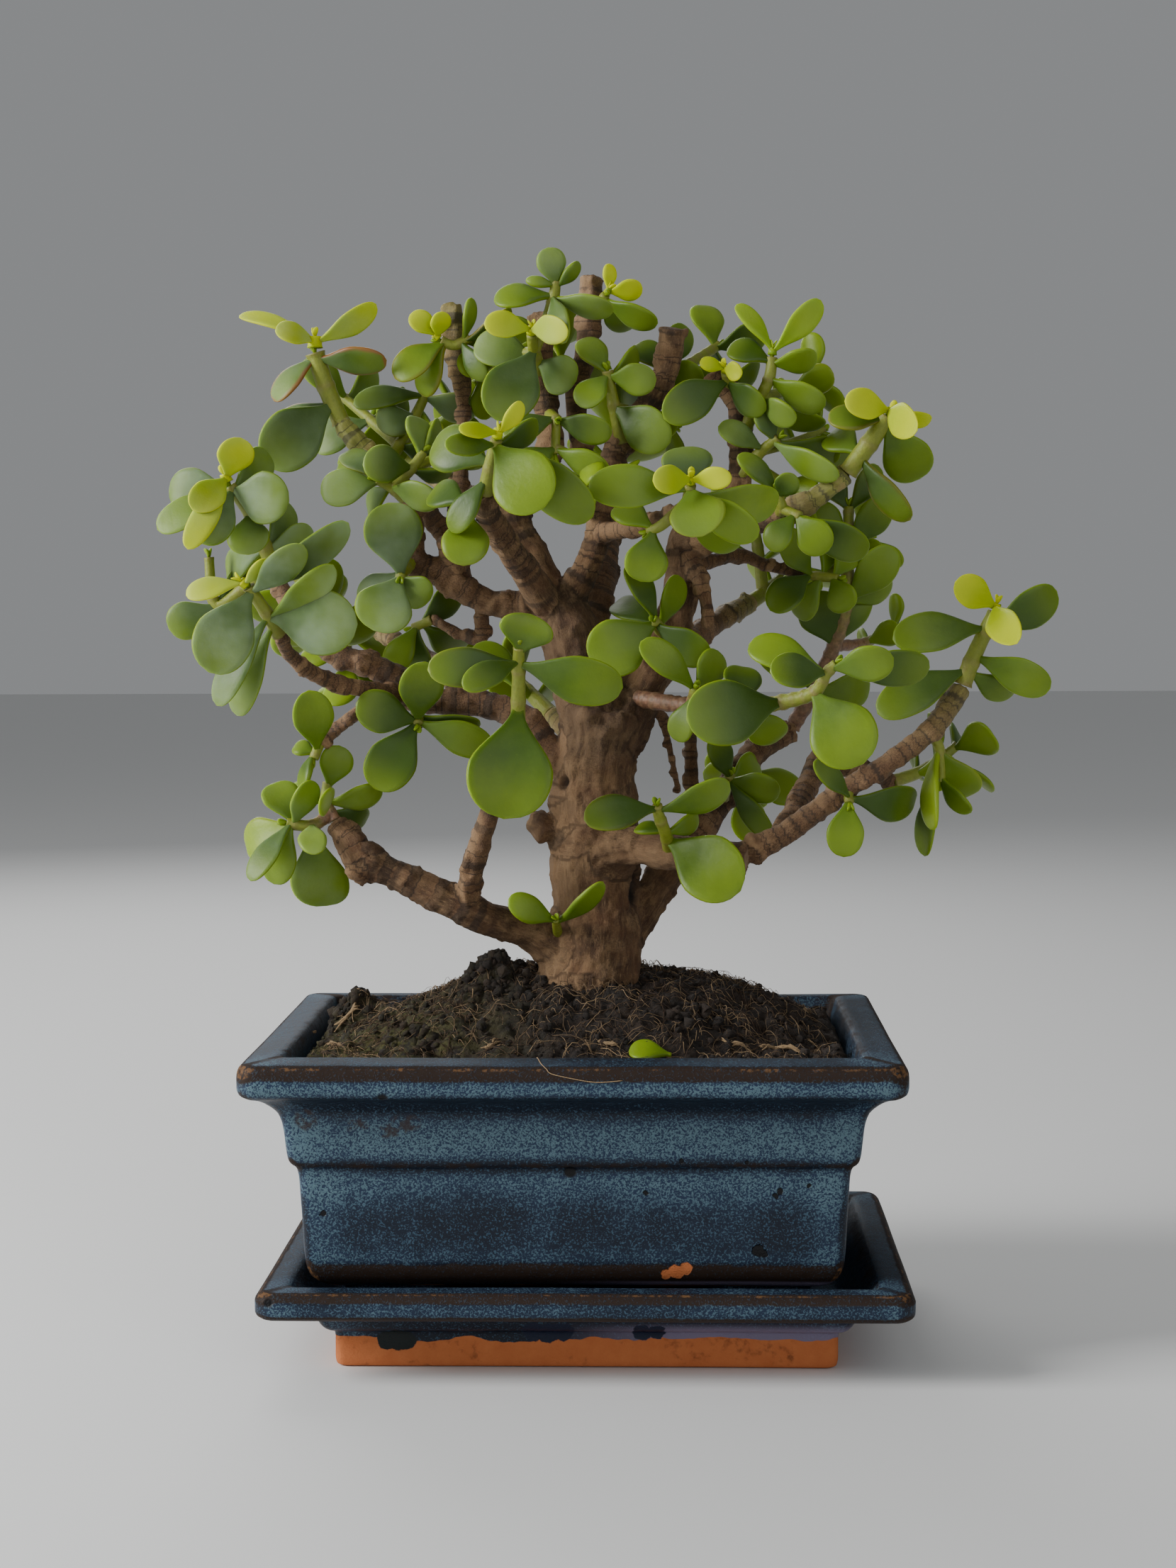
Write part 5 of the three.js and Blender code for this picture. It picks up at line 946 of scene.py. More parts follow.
def make_pot(glaze):
    profile = [
        [40, POT_BASE, 0, 0, 0.9], [19, POT_BASE, 0, 0.3, 0.6], [15.8, POT_BASE + 2.2, -0.2, 0.95, 0.1],
        [14.6, POT_BASE + 4.6, -0.2, 0.95, 0], [14.2, POT_BASE + 6.4, 0.2, 0.75, 0],
        [14, 26, 0.55, 0.15, 0], [13.8, 29, 0.2, 0, 0], [13.5, 36, 0.15, 0, 0], [13.2, 41, 0.5, 0, 0],
        [13, 45, 0.8, 0, 0], [12.8, 46.6, 0.5, 0, 0], [12.4, 48.2, -0.1, 0.5, 0], [11.2, 49, -0.5, 0.7, 0],
        [10.6, 50.6, 0.5, 0.35, 0], [10.3, 53, 1, 0, 0], [9.8, 58, 0.95, 0, 0], [9.2, 60.6, 0.45, 0, 0],
        [8.2, 62.6, 0, 0, 0], [4.8, 65.6, -0.3, 0.2, 0], [1.2, 66.6, -0.5, 0.5, 0], [0, 68, 1, 0.25, 0],
        [0, 70.4, 0.75, 0.2, 0], [0, 71.6, 0.1, 0.9, 0], [0.2, 73, 0, 0.95, 0], [0.9, 74.1, 0, 1.25, 0],
        [1.4, 74.4, 0.1, 0.7, 0], [2.6, 74.7, 0.3, 0.3, 0], [6, 75, 0.2, 0.3, 0],
        [9.2, POT_HEIGHT, 0, 0.6, 0], [10.4, POT_HEIGHT - 1, 0.2, 0.6, 0], [12.4, 66, 0.2, 0.2, 0],
        [17.4, 52, 0, 0, 0.9], [18.6, POT_FLOOR + 3, 0, 0, 1], [21.6, POT_FLOOR, 0, 0, 1],
        [40, POT_FLOOR, 0, 0, 1],
    ]
    builder = Builder("glaze")
    profile = split_long(rounded(profile))
    vessel(builder, POT_WIDTH, POT_DEPTH, POT_CORNER, profile, wobble=0.3, corner_break=0.35)
    foot_width, foot_depth, foot_height = FOOT_SIZE
    foot_profile = [
        [8, 0, 0, 0, 1], [1.6, 0, 0, 0.3, 0.9], [0.2, 1.8, 0, 0.6, 0.2], [0, 5, 0.1, 0.2, 0],
        [0, foot_height + 2, 0, 0.2, 0], [8, foot_height + 2, 0, 0.2, 0],
    ]
    foot_x = POT_WIDTH / 2 - FOOT_INSET - foot_width / 2
    foot_y = POT_DEPTH / 2 - FOOT_INSET - foot_depth / 2
    for side in (-1, 1):
        for end in (-1, 1):
            shift = (side * foot_x, end * foot_y, SAUCER_FLOOR + GAP)
            vessel(builder, foot_width, foot_depth, 5, rounded(foot_profile), shift, 0.2)
    pot = builder.piece("pot_glazed", [glaze])
    cut_drains(pot)
    carry_glaze(builder, pot)
    place_piece(pot, "glaze", "pot")


def cut_drains(pot):
    for side in (-1, 1):
        builder = Builder()
        rings = []
        for z in (POT_BASE - 4, POT_FLOOR + 4):
            ring = []
            for i in range(DRAIN_SIDES):
                angle = 2 * math.pi * i / DRAIN_SIDES
                x = side * DRAIN_SPACING / 2 + DRAIN_RADIUS * math.cos(angle)
                ring.append(builder.point((x, DRAIN_RADIUS * math.sin(angle), z)))
            rings.append(ring)
        builder.loop_faces(rings)
        builder.faces.append(tuple(reversed(rings[0])))
        builder.faces.append(tuple(rings[1]))
        cutter = builder.piece("drain", [])
        cut = pot.modifiers.new("drain", "BOOLEAN")
        cut.object = cutter
        cut.operation = "DIFFERENCE"
        apply_modifiers(pot)
        bpy.data.objects.remove(cutter)


def carry_glaze(builder, pot):
    """Gives each point of the cut pot the glaze of the nearest point that it was made from."""
    tree = search_tree(builder.points)
    mesh = pot.data
    if "glaze" in mesh.attributes:
        mesh.attributes.remove(mesh.attributes["glaze"])
    glazes = builder.values["glaze"]
    write_attribute(mesh, "glaze", [glazes[tree.find(vertex.co / MM - STAND)[1]] for vertex in mesh.vertices])


def soil_height(x, y):
    reach = math.hypot(x / 66, (y - 6) / 48)
    mound = (SOIL_PEAK - SOIL_EDGE) * max(0, 1 - reach**1.9)
    lumps = sum(rise * math.exp(-((x - cx) ** 2 + (y - cy) ** 2) / size**2) for cx, cy, size, rise in CLODS)
    return SOIL_EDGE + mound + lumps


def soil_surface(x, y):
    """The mound with its crumbs."""
    place = Vector((x, y, 0))
    crumbs = noise.fractal(place * 0.11, 0.75, 2.1, 5) * 1.9
    fine = 0.5 * abs(noise.noise(place * 0.8)) + 0.55 * noise.noise(place * 1.7)
    pits = max(0.0, noise.noise(place * 0.36 + Vector((0, 0, 7))) - 0.1)
    calm = smoothstep(4, 10, (place - FALLEN_LEAF).length)
    return soil_height(x, y) + calm * (crumbs + fine - 3.0 * pits + 0.1) - 0.6


CRUMBS = 2400
FIBRES = 2900
HAIR_RADIUS = 0.13
FALLEN_LEAF = Vector((18, -39, 0))  # where it lies on the soil

# Clods in the mound: x, y, size and rise.
CLODS = [
    (-21.5, -4, 6.5, 7.2), (-58, 5, 5.5, 5.5), (-48, 16, 12, -2.5), (-46, 30, 14, -3.5), (40, 10, 16, 2),
    (-38, -24, 12, 1.6), (22, -30, 13, 1.8),
]

# Heaps of coarser crumbs: x, y, reach and how many.
HEAPS = [(-21.5, -5, 8.5, 150), (-58, 4, 6, 70), (-12, -12, 5, 30), (30, -24, 9, 40), (-40, -30, 8, 40)]

# Bits of straw on the soil: x, y, length and the way each points in degrees.
STRAWS = [
  (-69.4, -2, 7, 20), (-58.9, -1.2, 9, 35), (38.8, -29.3, 8, 10), (52.2, -28.1, 9, -8), (47, -26.2, 6, 30),
  (55, -31, 5, 60), (-60.4, -15.5, 6, -20), (-57, 3.4, 8, 80), (-38, -30, 7, 15), (8, -36, 8, -30),
  (-20, -34, 6, 50), (30, 26, 8, 10), (-30, 30, 9, 40), (58, 12, 7, 75),
]


def soil_material():
    s = Shader("peat")
    kind, shade, moss = s.attribute("crumb")
    grain = s.noise(1000, 6, 0.75)
    flecks = s.noise(1900, 3, 0.6, seed=8)
    base = s.mix(s.step(0.35, 0.7, grain), (0.004, 0.003, 0.0025), (0.030, 0.019, 0.0125))
    base = s.mix(shade * 0.5, base, (0.07, 0.042, 0.025))
    base = s.mix(s.step(0.64, 0.7, flecks) * 0.6, base, (0.2, 0.135, 0.08))
    green = s.mix(s.noise(1400, 3), (0.04, 0.04, 0.009), (0.15, 0.145, 0.034))
    base = s.mix(moss * s.step(0.38, 0.58, s.noise(260, 5, 0.7, seed=4)), base, green)
    fibre = s.mix(shade, (0.055, 0.028, 0.014), (0.50, 0.34, 0.18))
    colour = s.mix(kind, base, fibre)
    normal = s.bump(grain + s.noise(1500, 5, 0.75, seed=6), 0.0008, 1.0)
    return s.finish(Base_Color=colour, Roughness=0.92, Normal=normal)


def make_soil(material):
    builder = Builder("crumb")
    draw = seeded_random(LITTER_SEED)
    rings = []
    half_w, half_d = POT_WIDTH / 2 - SOIL_RIM, POT_DEPTH / 2 - SOIL_RIM
    columns, rows = SOIL_GRID

    def moss(x, y):
        return clamp(smoothstep(0, -50, x) * smoothstep(30, -40, y) * 0.9)

    for j in range(rows + 1):
        ring = []
        for i in range(columns + 1):
            u, v = 2 * i / columns - 1, 2 * j / rows - 1
            squeeze = 1 - 0.018 * (u * v) ** 4
            x, y = u * half_w * squeeze, v * half_d * squeeze
            rim = max(abs(u), abs(v))
            z = soil_surface(x, y) - 2.2 * smoothstep(0.97, 1.0, rim)
            shade = clamp(0.25 + noise.noise(Vector((x, y, 9)) * 0.3))
            ring.append(builder.point((x, y, z), crumb=(0, shade, moss(x, y))))
        rings.append(ring)
    builder.loop_faces(rings, closed=False)
    right, left = [ring[-1] for ring in rings[1:]], [ring[0] for ring in rings[-2:0:-1]]
    border = rings[0] + right + rings[-1][-2::-1] + left
    low = []
    for index in border:
        top = builder.points[index]
        low.append(builder.point((top.x * 0.86, top.y * 0.82, POT_FLOOR + GAP + 1)))
    builder.loop_faces([low, border])
    hub = builder.point((0, 0, POT_FLOOR + GAP + 1))
    builder.fan(low, hub, True)
    place_piece(builder.piece("soil_peat", [material]), "peat", "soil")
    builder = Builder("crumb")
    for _ in range(CRUMBS):
        x, y = (2 * draw() - 1) * half_w * 0.97, (2 * draw() - 1) * half_d * 0.97
        add_crumb(builder, draw, x, y, 0.2 + 1.2 * draw() ** 6, moss)
    for heap_x, heap_y, spread, count in HEAPS:
        for _ in range(count):
            angle, reach = 2 * math.pi * draw(), spread * draw() ** 0.7
            place = (heap_x + reach * math.cos(angle), heap_y + reach * math.sin(angle))
            add_crumb(builder, draw, *place, 0.5 + 1.5 * draw() ** 2, moss)
    for _ in range(FIBRES):
        add_fibre(builder, draw, half_w, half_d)
    for straw in STRAWS:
        add_straw(builder, draw, *straw)
    hair = [
        (-9, -43, soil_surface(-9, -43)), (-8.2, -48.3, 75.25), (-7, -54, 74.85), (-5.6, -56.8, 74.1),
        (-4.4, -57.4, 73.1), (0.5, -57.65, 72), (6, -57.7, 71.2), (12, -57.65, 71.6),
    ]
    hair = [catmull(hair, i * 0.2) for i in range(36)]
    add_tube(builder, [Vector(place) for place in hair], [HAIR_RADIUS] * len(hair), 4, crumb=(1, 0.8, 0))
    place_piece(builder.piece("soil_litter", [material]), "peat")


def add_crumb(builder, draw, x, y, size, moss):
    """A small lump of peat on the surface."""
    centre = Vector((x, y, soil_surface(x, y) + size * 0.3))
    shade = draw() ** 2
    turn = Quaternion((draw() - 0.5, draw() - 0.5, draw() - 0.5), 6 * draw())
    rings = []
    for level in (-0.6, 0.15, 0.8):
        ring = []
        radius = size * math.sqrt(1 - level * level)
        for i in range(5):
            angle = 2 * math.pi * i / 5 + level
            offset = Vector((radius * math.cos(angle), radius * math.sin(angle), size * level * 0.8))
            offset *= 0.55 + 0.9 * draw()
            ring.append(builder.point(centre + turn @ offset, crumb=(0, shade, moss(x, y) * draw())))
        rings.append(ring)
    builder.loop_faces(rings)
    bottom = builder.point(centre + turn @ Vector((0, 0, -size)), crumb=(0, shade, 0))
    top = builder.point(centre + turn @ Vector((0, 0, size)), crumb=(0, shade, 0))
    builder.fan(rings[0], bottom, True)
    builder.fan(rings[-1], top)


def add_fibre(builder, draw, half_w, half_d):
    """A fine curled root hair or shred on the surface."""
    x, y = (2 * draw() - 1) * half_w * 0.93, (2 * draw() - 1) * half_d * 0.93
    length = 2.5 + 13 * draw() ** 2.4
    angle, curl = 2 * math.pi * draw(), (draw() - 0.5) * 0.9
    radius = 0.05 + 0.06 * draw() ** 2
    shade = draw() ** 2.2
    lift = 0.3 + 1.6 * draw() ** 2
    steps = 6
    points = []
    for i in range(steps):
        share = i / (steps - 1)
        z = soil_surface(x, y) + 0.15 + lift * math.sin(math.pi * share)
        points.append(Vector((x, y, z)))
        angle += curl
        x = clamp(x + length / steps * math.cos(angle), -half_w * 0.96, half_w * 0.96)
        y = clamp(y + length / steps * math.sin(angle), -half_d * 0.96, half_d * 0.96)
    add_tube(builder, points, [radius] * steps, 3, crumb=(1, shade, 0))


def add_tube(builder, points, radii, sides, **values):
    """A round tube along points, closed at both ends. Returns its rings and frames."""
    rings, frames = [], []
    side = None
    for i, point in enumerate(points):
        along = (points[min(i + 1, len(points) - 1)] - points[max(i - 1, 0)]).normalized()
        if side is None:
            side = along.cross(UP if abs(along.z) < 0.9 else Vector((1, 0, 0))).normalized()
        side = (side - along * side.dot(along)).normalized()
        across = along.cross(side)
        frames.append((along, side, across))
        ring = []
        for j in range(sides):
            angle = 2 * math.pi * j / sides
            offset = (side * math.cos(angle) + across * math.sin(angle)) * radii[i]
            ring.append(builder.point(point + offset, **values))
        rings.append(ring)
    builder.loop_faces(rings)
    start = builder.point(points[0], **values)
    end = builder.point(points[-1], **values)
    builder.fan(rings[0], start, True)
    builder.fan(rings[-1], end)
    return rings, frames


# Wood


def sweep(rows, spacing=1.0):
    """Places, radii and distances along a limb."""
    places = [[*seen(x, z, y), seen_size(radius, y)] for x, z, y, radius in rows]
    samples = []
    for index in range(len(places) - 1):
        length = math.dist(places[index][:3], places[index + 1][:3])
        count = max(1, round(length / spacing))
        samples += [catmull(places, index + i / count) for i in range(count)]
    samples.append(places[-1])
    points = [Vector(sample[:3]) for sample in samples]
    radii = [max(sample[3], 0.3) for sample in samples]
    distance, distances = 0.0, []
    for i, point in enumerate(points):
        distance += (point - points[i - 1]).length if i else 0
        distances.append(distance)
    return points, radii, distances


def ringed(radii, distances, spacing, height, phase=0.0):
    """Adds the raised leaf-scar rings of an old shoot, unevenly spaced and raised."""
    out = []
    for radius, distance in zip(radii, distances):
        wander = 1.6 * noise.noise(Vector((distance * 0.13, phase, 0)))
        turns = (distance + phase + wander) / spacing
        off = (turns - round(turns)) * spacing
        share = 0.65 + 0.9 * noise.noise(Vector((round(turns) * 3.7, phase, 5)))
        out.append(radius * (1 + height * clamp(share, 0.1, 1.2) * math.exp(-((off / 0.62) ** 2))))
    return out


def add_straw(builder, draw, x, y, length, angle):
    """A flat frayed bit of straw."""
    angle = math.radians(angle)
    for _ in range(5):
        turn = angle + 0.5 * (draw() - 0.5)
        reach = length * (0.5 + 0.5 * draw())
        points = []
        for i in range(5):
            at = reach * (i / 4 - 0.5)
            sx = x + at * math.cos(turn) + 0.5 * (draw() - 0.5)
            sy = y + at * math.sin(turn) + 0.5 * (draw() - 0.5)
            points.append(Vector((sx, sy, soil_surface(sx, sy) + 0.4 + 0.6 * draw())))
            x += 0.15 * (draw() - 0.5)
            y += 0.3 * (draw() - 0.5)
        add_tube(builder, points, [0.12, 0.3, 0.36, 0.3, 0.1], 5, crumb=(1, 0.75, 0))


def bark_material():
    """Papery bark. The grain attribute runs round and along each limb in millimetres, the wood
    attribute holds how young the stem is, how freshly cut and how much painted shade it has, and the
    ring attribute holds the leaf scars, the plates of loose bark and how sunlit brown the wood is. Wood
    that faces left gets a painted highlight."""
    s = Shader("bark")
    young, cut, dark = s.attribute("wood")
    scar, plate, warm = s.attribute("ring")
    grain = s.vector_attribute("grain")

    def along(across_scale, along_scale, detail, rough, seed=0, distortion=0.0):
        """Noise that is stretched along the limb."""
        place = s.stretch(grain, (across_scale, across_scale, along_scale))
        return s.noise(1.0, detail, rough, place, distortion, seed)

    streaks = along(0.9, 0.14, 5, 0.65, distortion=0.4)
    wrinkles = along(1.6, 3.0, 5, 0.7, 11, 0.6)
    threads = along(2.8, 0.42, 5, 0.7, 21, 0.3)
    fine = along(4.2, 2.0, 6, 0.75, 2)
    lines = along(0.8, 0.16, 4, 0.6, 5, 0.8)
    flakes = along(0.34, 0.15, 3, 0.6, 23, 0.8)
    patches = s.noise(95, 6, 0.65, seed=9)
    blotches = s.noise(32, 4, 0.6, seed=14)
    crack = s.step(0.016, 0.003, s.math("ABSOLUTE", lines - 0.5)) * s.step(0.5, 0.62, patches)
    old = s.mix(s.step(0.32, 0.68, streaks), (0.076, 0.038, 0.017), (0.215, 0.122, 0.054))
    russet = s.step(0.42, 0.6, blotches * 0.6 + patches * 0.4)
    old = s.mix(russet * 0.45, old, (0.135, 0.058, 0.023))
    for layer, low, high, share, colour in (
        (wrinkles, 0.5, 0.66, 0.35, (0.33, 0.205, 0.095)),
        (wrinkles, 0.46, 0.34, 0.45, (0.036, 0.018, 0.011)),
        (fine, 0.55, 0.68, 0.35, (0.42, 0.28, 0.145)), (fine, 0.44, 0.32, 0.45, (0.028, 0.015, 0.009)),
        (flakes, 0.5, 0.4, 0.6, (0.058, 0.027, 0.012)), (flakes, 0.53, 0.62, 0.5, (0.36, 0.215, 0.1)),
        (threads, 0.53, 0.66, 0.6, (0.4, 0.25, 0.125)), (threads, 0.46, 0.34, 0.6, (0.036, 0.019, 0.011)),
    ):
        old = s.mix(s.step(low, high, layer) * share, old, colour)
    old = s.mix(crack * 0.75, old, (0.02, 0.011, 0.008))
    old = s.mix(plate * s.step(0.35, 0.6, fine * 0.5 + wrinkles * 0.5), old, (0.36, 0.22, 0.105))
    thin = s.mix(s.step(0.35, 0.65, fine * 0.6 + wrinkles * 0.4), (0.052, 0.022, 0.009), (0.25, 0.13, 0.056))
    old = s.mix(warm * 0.4, old, (0.17, 0.072, 0.028))
    # painted highlight: wood that faces the key light on the left is painted pale tan
    painted_lit_side = s.step(0.1, -0.8, s.facing()[0] + (patches - 0.5) * 1.2) * 0.55
    wood = s.mix(s.step(0.0, 0.45, young), old, thin)
    wood = s.mix(painted_lit_side, wood, s.mix(threads, (0.26, 0.150, 0.070), (0.50, 0.32, 0.165)))
    green = s.mix(s.step(0.3, 0.7, streaks), (0.16, 0.17, 0.025), (0.29, 0.29, 0.055))
    wood = s.mix(s.step(0.55, 0.95, young + (fine - 0.5) * 0.3), wood, green)
    broken = s.step(0.38, 0.6, patches)
    ring = s.step(0.4, 0.9, scar + (fine - 0.5) * 1.1)
    wood = s.mix(ring * broken * 0.7, wood, (0.44, 0.265, 0.125))
    groove = s.step(0.05, 0.22, scar) * s.step(0.42, 0.25, scar)
    wood = s.mix(groove * s.step(0.3, 0.5, patches) * 0.7, wood, (0.018, 0.01, 0.006))
    # painted shade: the hollows and the thick upper trunk are darkened nearly to black
    wood = s.mix(dark, wood, (0.016, 0.010, 0.008))
    face = s.mix(s.noise(700, 4, 0.6, seed=19), (0.2, 0.115, 0.06), (0.46, 0.32, 0.19))
    colour = s.mix(s.step(0.4, 0.7, cut), wood, face)
    height = streaks * 0.25 + wrinkles * 0.45 + crack * -0.4 + threads * 0.5 + fine * 0.55
    normal = s.bump(height, 0.0009, 1.0 + young * -0.6)
    rough = 0.82 + young * -0.36
    return s.finish(Base_Color=colour, Roughness=rough, Normal=normal)


# How green, 0 to 1, each branch is at its start and its end, for those that aren't old wood.
GREENNESS = {
  "topLeftArm": (0.15, 1.0),
  "leftArm": (0.1, 0.6),
  "leftPost": (0.35, 0.75),
  "topPost": (0.2, 0.6),
  "upperRight": (0.2, 1.0),
  "lowRightArm": (0.25, 0.75),
  "rightShelf": (0.4, 0.5),
  "innerRightTwig": (0.4, 0.6),
  "buttressPost": (0.4, 0.5),
  "hangingTwig": (0.45, 0.5),
  "ringedTwig": (0.45, 0.5),
  "droopTwig": (0.45, 0.55),
  "leftArmTwig": (0.45, 0.5),
  "darkRear": (0.35, 0.4),
  "lowRight": (0.1, 0.2),
  "midLeft": (0.4, 0.5),
  "frontPost": (0.2, 0.35),
  "backLow": (0.1, 0.8),
  "backRight": (0.1, 0.8),
  "backMiddle": (0.1, 0.8),
  "backLeft": (0.1, 0.8),
  "backFarLeft": (0.2, 0.8),
}
RING_RADIUS = 3.7  # a branch no thicker than this shows its leaf scars as rings
WOOD_VOXEL = 0.74
THICK = 6  # the radius of thick wood
CUT_ENDS = (
  "leftArmStub", "innerLeft", "innerRight", "topPost", "leftPost", "rightLeader", "lowRight", "lowLeftStub",
)


def make_wood(material):
    """The trunk and branches, swept along their rows, fused, and given bark relief."""
    builder = Builder()
    guides, scars = [], []
    limbs = {"foot": TRUNK_FOOT, "trunk": TRUNK, **BRANCHES}
    for number, (name, rows) in enumerate(limbs.items()):
        points, radii, distances = sweep(rows)
        greens = GREENNESS.get(name, (0.0, 0.0))
        total = distances[-1]
        thin = [smoothstep(RING_RADIUS + 1.3, RING_RADIUS - 1.0, radius) for radius in radii]
        marks = ringed(radii, distances, 3.6 + 0.5 * (number % 4), 0.2, number)
        scarred = [(mark / radius - 1) / 0.2 * share for radius, mark, share in zip(radii, marks, thin)]
        radii = [radius + (mark - radius) * share for radius, mark, share in zip(radii, marks, thin)]
        lumpy = []
        for point, radius in zip(points, radii):
            lump = noise.noise(point * 0.16 + Vector((0, 0, number)))
            lumpy.append(radius * (1 + (0.07 if radius > THICK else 0.15) * lump))
        _, frames = add_tube(builder, points, lumpy, 16 if radii[0] < THICK else 28)
        for point, (along, side, across), radius, distance in zip(points, frames, radii, distances):
            share = distance / total
            green = greens[0] + (greens[1] - greens[0]) * share
            guides.append((point, along, side, across, radius, distance, green, number))
        scars += scarred
        if name in CUT_ENDS:
            point, along = points[-1], frames[-1][0]
            guides.append((point + along * 0.01, along, *frames[-1][1:], -radii[-1], total, 0.0, number))
            scars.append(0.0)
    wood = builder.piece("trunk_bark", [material])
    fuse = wood.modifiers.new("fuse", "REMESH")
    fuse.mode = "VOXEL"
    fuse.voxel_size = WOOD_VOXEL * MM
    soften = wood.modifiers.new("soften", "SMOOTH")
    soften.factor = 0.5
    soften.iterations = 4
    apply_modifiers(wood)
    dress_bark(wood, guides, scars)
    wood.data.materials.clear()
    wood.data.materials.append(material)
    wood.data.polygons.foreach_set("use_smooth", [True] * len(wood.data.polygons))
    place_piece(wood, "bark", "trunk")


def dress_bark(wood, guides, scars):
    """Gives each point its place along its limb, and lifts it with cracks and flakes."""
    tree = search_tree([guide[0] for guide in guides])
    mesh = wood.data
    grain, tones, rings, moved = [], [], [], []
    for vertex, normal in zip(mesh.vertices, mesh.vertex_normals):
        place = vertex.co / MM - STAND
        best = None
        for _, i, distance in tree.find_n(place, 14):
            radius = abs(guides[i][4])
            score = distance - radius
            if best is None or score < best[0]:
                best = (score, i)
        point, along, side, across, radius, distance, green, number = guides[best[1]]
        offset = place - point
        local = Vector((offset.dot(side), offset.dot(across), distance + offset.dot(along) + 37 * number))
        facing = normal.vector.dot(along)
        cut = 1.0 if radius < 0 and facing > 0.6 and offset.dot(along) > -0.5 else 0.0
        radius = abs(radius)
        rough = smoothstep(1.2, 7, radius)
        streaks = noise.fractal(Vector((local.x * 0.55, local.y * 0.55, local.z * 0.07)), 0.7, 2.2, 3)
        wrinkles = noise.noise(Vector((local.x * 0.45, local.y * 0.45, local.z * 0.95)))
        folds = noise.noise(Vector((local.x * 0.13, local.y * 0.13, local.z * 0.22)))
        plates = noise.noise(Vector((local.x * 0.34, local.y * 0.34, local.z * 0.26 + 50)))
        plate = smoothstep(0.12, 0.2, plates + 0.25 * noise.noise(local * 0.9))
        # painted shade in the hollows, kept in the wood attribute; the hollows are also dented in below
        shade = hollow_shade(place)
        lift = rough * (0.5 * streaks + 0.3 * folds) + 0.12 * wrinkles * (1.2 - rough)
        lift += (0.1 + 0.14 * rough) * plate
        for centre, size, rise in KNOBS:
            near = math.exp(-(((place - centre).length / size) ** 2))
            lift += rise * near * (1 + 0.5 * noise.noise(place * 0.55))
            plate = max(plate, min(1.0, 1.3 * near) if rise > 1.2 else 0)
        buds = noise.noise(Vector((local.x * 0.32, local.y * 0.32, local.z * 0.25 + 90)))
        lift += (1 - 0.6 * rough) * 0.8 * smoothstep(0.2, 0.42, buds)
        lift -= 2.2 * shade
        # painted shade on thick wood, darker from 139 to 146 mm up the trunk
        if radius > THICK:
            shade = max(shade, 0.32 * smoothstep(139, 146, place.z))
        if cut:
            lift = 0.25 * noise.noise(local * 0.9) - 0.25
        moved.append(vertex.co + normal.vector * lift * MM)
        grain.append(local)
        tones.append((green, cut, shade))
        rings.append((scars[best[1]], 0.6 * plate, clamp(0.5 + 1.5 * folds)))
    mesh.vertices.foreach_set("co", [value for co in moved for value in co])
    for key, rows in (("grain", grain), ("wood", tones), ("ring", rings)):
        write_attribute(mesh, key, rows)
    mesh.update()


# Hollows in the wood, dented in and darkened with painted shade: x, z, y as seen from the front, and a size.
HOLLOWS = [
    (4.8, 152.6, -9, 1.9), (2.8, 153.6, -9, 1.2), (14.2, 108.5, -5, 3.6), (14.8, 112.5, -4, 2.8),
    (-6.4, 137.2, -8.4, 2.6), (-9, 135.8, -6.4, 1.8),
]

# Knobs and ridges of old wood: x, z, y as seen from the front, a size and a height.
KNOBS = [
    (-13.4, 129.2, -6, 1.7, 1.2), (-11, 124.4, -5.6, 1.7, 1.4), (-14, 125.8, -4, 1.5, 1.1),
    (-11.6, 128, -7.6, 1.5, 1.0), (-9.6, 123.6, -4, 2.6, 1.4), (-1.5, 141, -10, 2.6, 1.3),
    (2.5, 140.2, -10.5, 2.2, 1.1), (6.5, 140, -9.5, 2.0, 0.9), (-4, 142.5, -8.5, 2.4, 1.5),
    (-3, 157, -9, 2.6, 1.2), (0.6, 153.4, -10.5, 2.3, 1.2), (4.4, 150, -10.5, 2.4, 1.2),
    (8.6, 151, -9, 2.4, 1.2), (11, 156, -7, 2.4, 1.2), (-7.4, 94.6, -12, 2.6, 1.0), (-3, 97, -14, 2.4, 1.0),
    (1.6, 97.6, -14.5, 2.2, 0.9), (6, 98.6, -14, 2.2, 0.9), (13.4, 123, -13, 3.0, 1.2),
    (19, 125.4, -14, 2.4, 1.0), (24.6, 121, -15, 2.4, 1.0), (-38, 108, -9, 3.0, 1.2),
    (-50, 116, -9, 2.8, 1.2), (-28, 101, -9, 3.2, 1.0),
]
HOLLOWS = [(seen(x, z, y), size) for x, z, y, size in HOLLOWS]
KNOBS = [(seen(x, z, y), size, rise) for x, z, y, size, rise in KNOBS]


def hollow_shade(place):
    shade = 0.0
    for centre, size in HOLLOWS:
        shade = max(shade, 1 - smoothstep(size * 0.6, size * 1.15, (place - centre).length))
    return shade


# Leaves

# The dark, middle and light colour of each kind of leaf, and that of its base.
LEAF_GREENS = ((0.040, 0.084, 0.003), (0.112, 0.190, 0.004), (0.25, 0.35, 0.010), (0.18, 0.25, 0.01))
LEAF_YELLOWS = ((0.34, 0.43, 0.002), (0.49, 0.555, 0.003), (0.60, 0.62, 0.006), (0.20, 0.26, 0.004))
LEAF_LIMES = ((0.14, 0.26, 0.003), (0.22, 0.35, 0.004), (0.33, 0.43, 0.012), (0.17, 0.27, 0.004))
LEAF_RED = (0.28, 0.035, 0.022)
LEAF_BLOOM_AND_SHEEN = (0.34, 0.44, 0.29)


